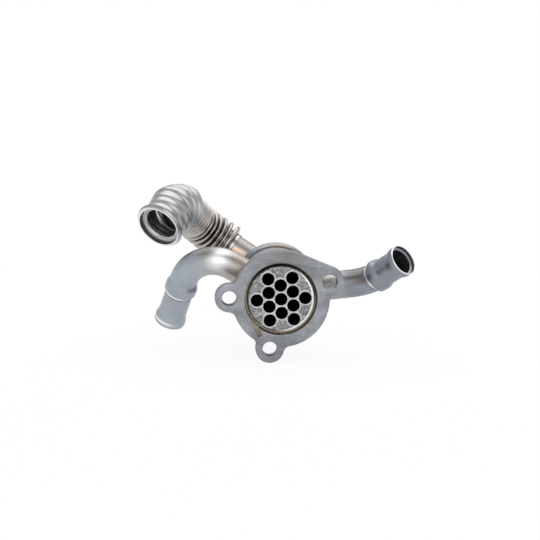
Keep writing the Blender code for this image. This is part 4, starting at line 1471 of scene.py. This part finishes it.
class CoolerStage(bpy.types.Operator):
    """Make the floor, the soft lights and the camera"""

    bl_idname = "cooler.stage"
    bl_label = "Stage"

    def execute(self, context):
        scene = context.scene
        scene.view_settings.view_transform = "Standard"
        self.floor(BOX_AT_START[0][2])
        self.light("top_light", place=(0.04, 0.40, 1.15), size=1.8, power=16.0)
        self.light("front_light", place=(0.02, -1.20, 0.58), size=1.2, power=4.2)
        self.world(scene)
        self.camera(scene)
        return {"FINISHED"}

    def floor(self, height):
        """Pale floor: it keeps the shadow near the object and is plain white further out."""
        mesh = bpy.data.meshes.new("floor")
        half = 9.0
        corners = [(x, y, height) for x, y in ((-half, -half), (half, -half), (half, half), (-half, half))]
        mesh.from_pydata(corners, [], [(0, 1, 2, 3)])
        floor = add_object("floor", mesh)
        surface = Surface("floor_paint", (0.86, 0.86, 0.86))
        rays = surface.node("ShaderNodeLightPath", {}, {})
        camera, glossy, through = (
            Number(surface, rays.outputs[f"Is {kind} Ray"]) for kind in ("Camera", "Glossy", "Transmission")
        )
        seen = camera + glossy + through
        cloud = surface.grain(6, detail=2)
        far = surface.distance((0.0, 0.03, height)).above(0.14, 0.42)
        surface.lay(cloud, (0.90, 0.90, 0.90))
        paint = surface.made("ShaderNodeBsdfDiffuse", {}, {"Color": surface.color})
        glow = surface.made("ShaderNodeEmission", {}, {"Color": (1.0, 1.0, 1.0, 1.0), "Strength": 1.0})
        glow_share = seen * (far * 0.09 + 0.91)
        both = surface.made("ShaderNodeMixShader", {}, {0: glow_share, 1: paint, 2: glow})
        surface.node("ShaderNodeOutputMaterial", {}, {"Surface": both})
        mesh.materials.append(surface.material)

    def light(self, name, place, size, power):
        lamp = bpy.data.lights.new(name, "AREA")
        lamp.shape = "DISK"
        lamp.size = size
        lamp.energy = power
        item = add_object(name, lamp)
        item.location = place
        item.rotation_euler = (-Vector(place)).to_track_quat("-Z", "Y").to_euler()

    def world(self, scene):
        """Studio: white at the horizon, a dim warm ceiling and a soft box on the left."""
        world = bpy.data.worlds.new("studio")
        scene.world = world
        studio = Surface("studio", (1.0, 1.0, 1.0), world)
        height = studio.part("Z")
        studio.lay(height.above(0.05, 0.55), (0.52, 0.52, 0.53))
        studio.lay(height.above(0.55, 0.95), (0.15, 0.135, 0.12))
        soft_box = studio.distance(unit(-0.85, -0.25, 0.45)).above(0.60, 0.20)
        studio.lay(soft_box * 0.8, (0.95, 0.97, 1.0))
        shine = studio.made("ShaderNodeBackground", {}, {"Color": studio.color, "Strength": 1.0})
        studio.node("ShaderNodeOutputWorld", {}, {"Surface": shine})

    def camera(self, scene):
        """Camera of the photograph, from its turn, tilt, distance and scale."""
        turn, tilt = radians(-3.5), radians(9.5)
        distance, pixel = 1.0, 0.00065
        origin_x, origin_y = 281.2, 299.4
        back = Vector((sin(turn) * cos(tilt), -cos(turn) * cos(tilt), sin(tilt)))
        right = Vector((cos(turn), sin(turn), 0))
        up = back.cross(right)
        offset = right * (origin_x - IMAGE_PIXELS / 2) * pixel - up * (origin_y - IMAGE_PIXELS / 2) * pixel
        data = bpy.data.cameras.new("photo_camera")
        data.sensor_width = 36.0
        data.lens = 36.0 * distance / pixel / IMAGE_PIXELS
        camera = add_object("photo_camera", data)
        rows = Matrix((right, up, back)).transposed()
        camera.matrix_world = Matrix.Translation(back * distance - offset) @ rows.to_4x4()
        scene.camera = camera


class CoolerPanel(bpy.types.Panel):
    """Sidebar panel with the sizes, the finish and the pieces"""

    bl_idname = "VIEW3D_PT_cooler"
    bl_label = "EGR cooler"
    bl_space_type = "VIEW_3D"
    bl_region_type = "UI"
    bl_category = "Cooler"

    def draw(self, context):
        for group in (getattr(context.scene, key) for key in GROUPS):
            box = self.layout.box()
            for key in group.bl_rna.properties.keys():
                if key not in {"rna_type", "name"}:
                    box.prop(group, key)
        for piece in PIECES:
            self.layout.operator(piece.bl_idname)


GROUPS = {
    "cooler_flange": CoolerFlangeSizes,
    "cooler_bundle": CoolerBundleSizes,
    "cooler_shell": CoolerShellSizes,
    "cooler_pipe": CoolerPipeSizes,
    "cooler_gas": CoolerGasLineSizes,
    "cooler_finish": CoolerFinish,
}
PIECES = (
    CoolerFlange,
    CoolerSheets,
    CoolerTubes,
    CoolerShell,
    CoolerCap,
    CoolerCoolantPipes,
    CoolerGasPipe,
    CoolerBellows,
    CoolerElbow,
    CoolerCup,
    CoolerStage,
)


def register():
    for key, group in GROUPS.items():
        bpy.utils.register_class(group)
        setattr(bpy.types.Scene, key, PointerProperty(type=group))
    for piece in (*PIECES, CoolerPanel):
        bpy.utils.register_class(piece)


def unregister():
    for piece in reversed((*PIECES, CoolerPanel)):
        bpy.utils.unregister_class(piece)
    for key, group in GROUPS.items():
        delattr(bpy.types.Scene, key)
        bpy.utils.unregister_class(group)


def main():
    register()
    for piece in PIECES:
        group, name = piece.bl_idname.split(".")
        getattr(getattr(bpy.ops, group), name)()


if __name__ == "__main__":
    main()
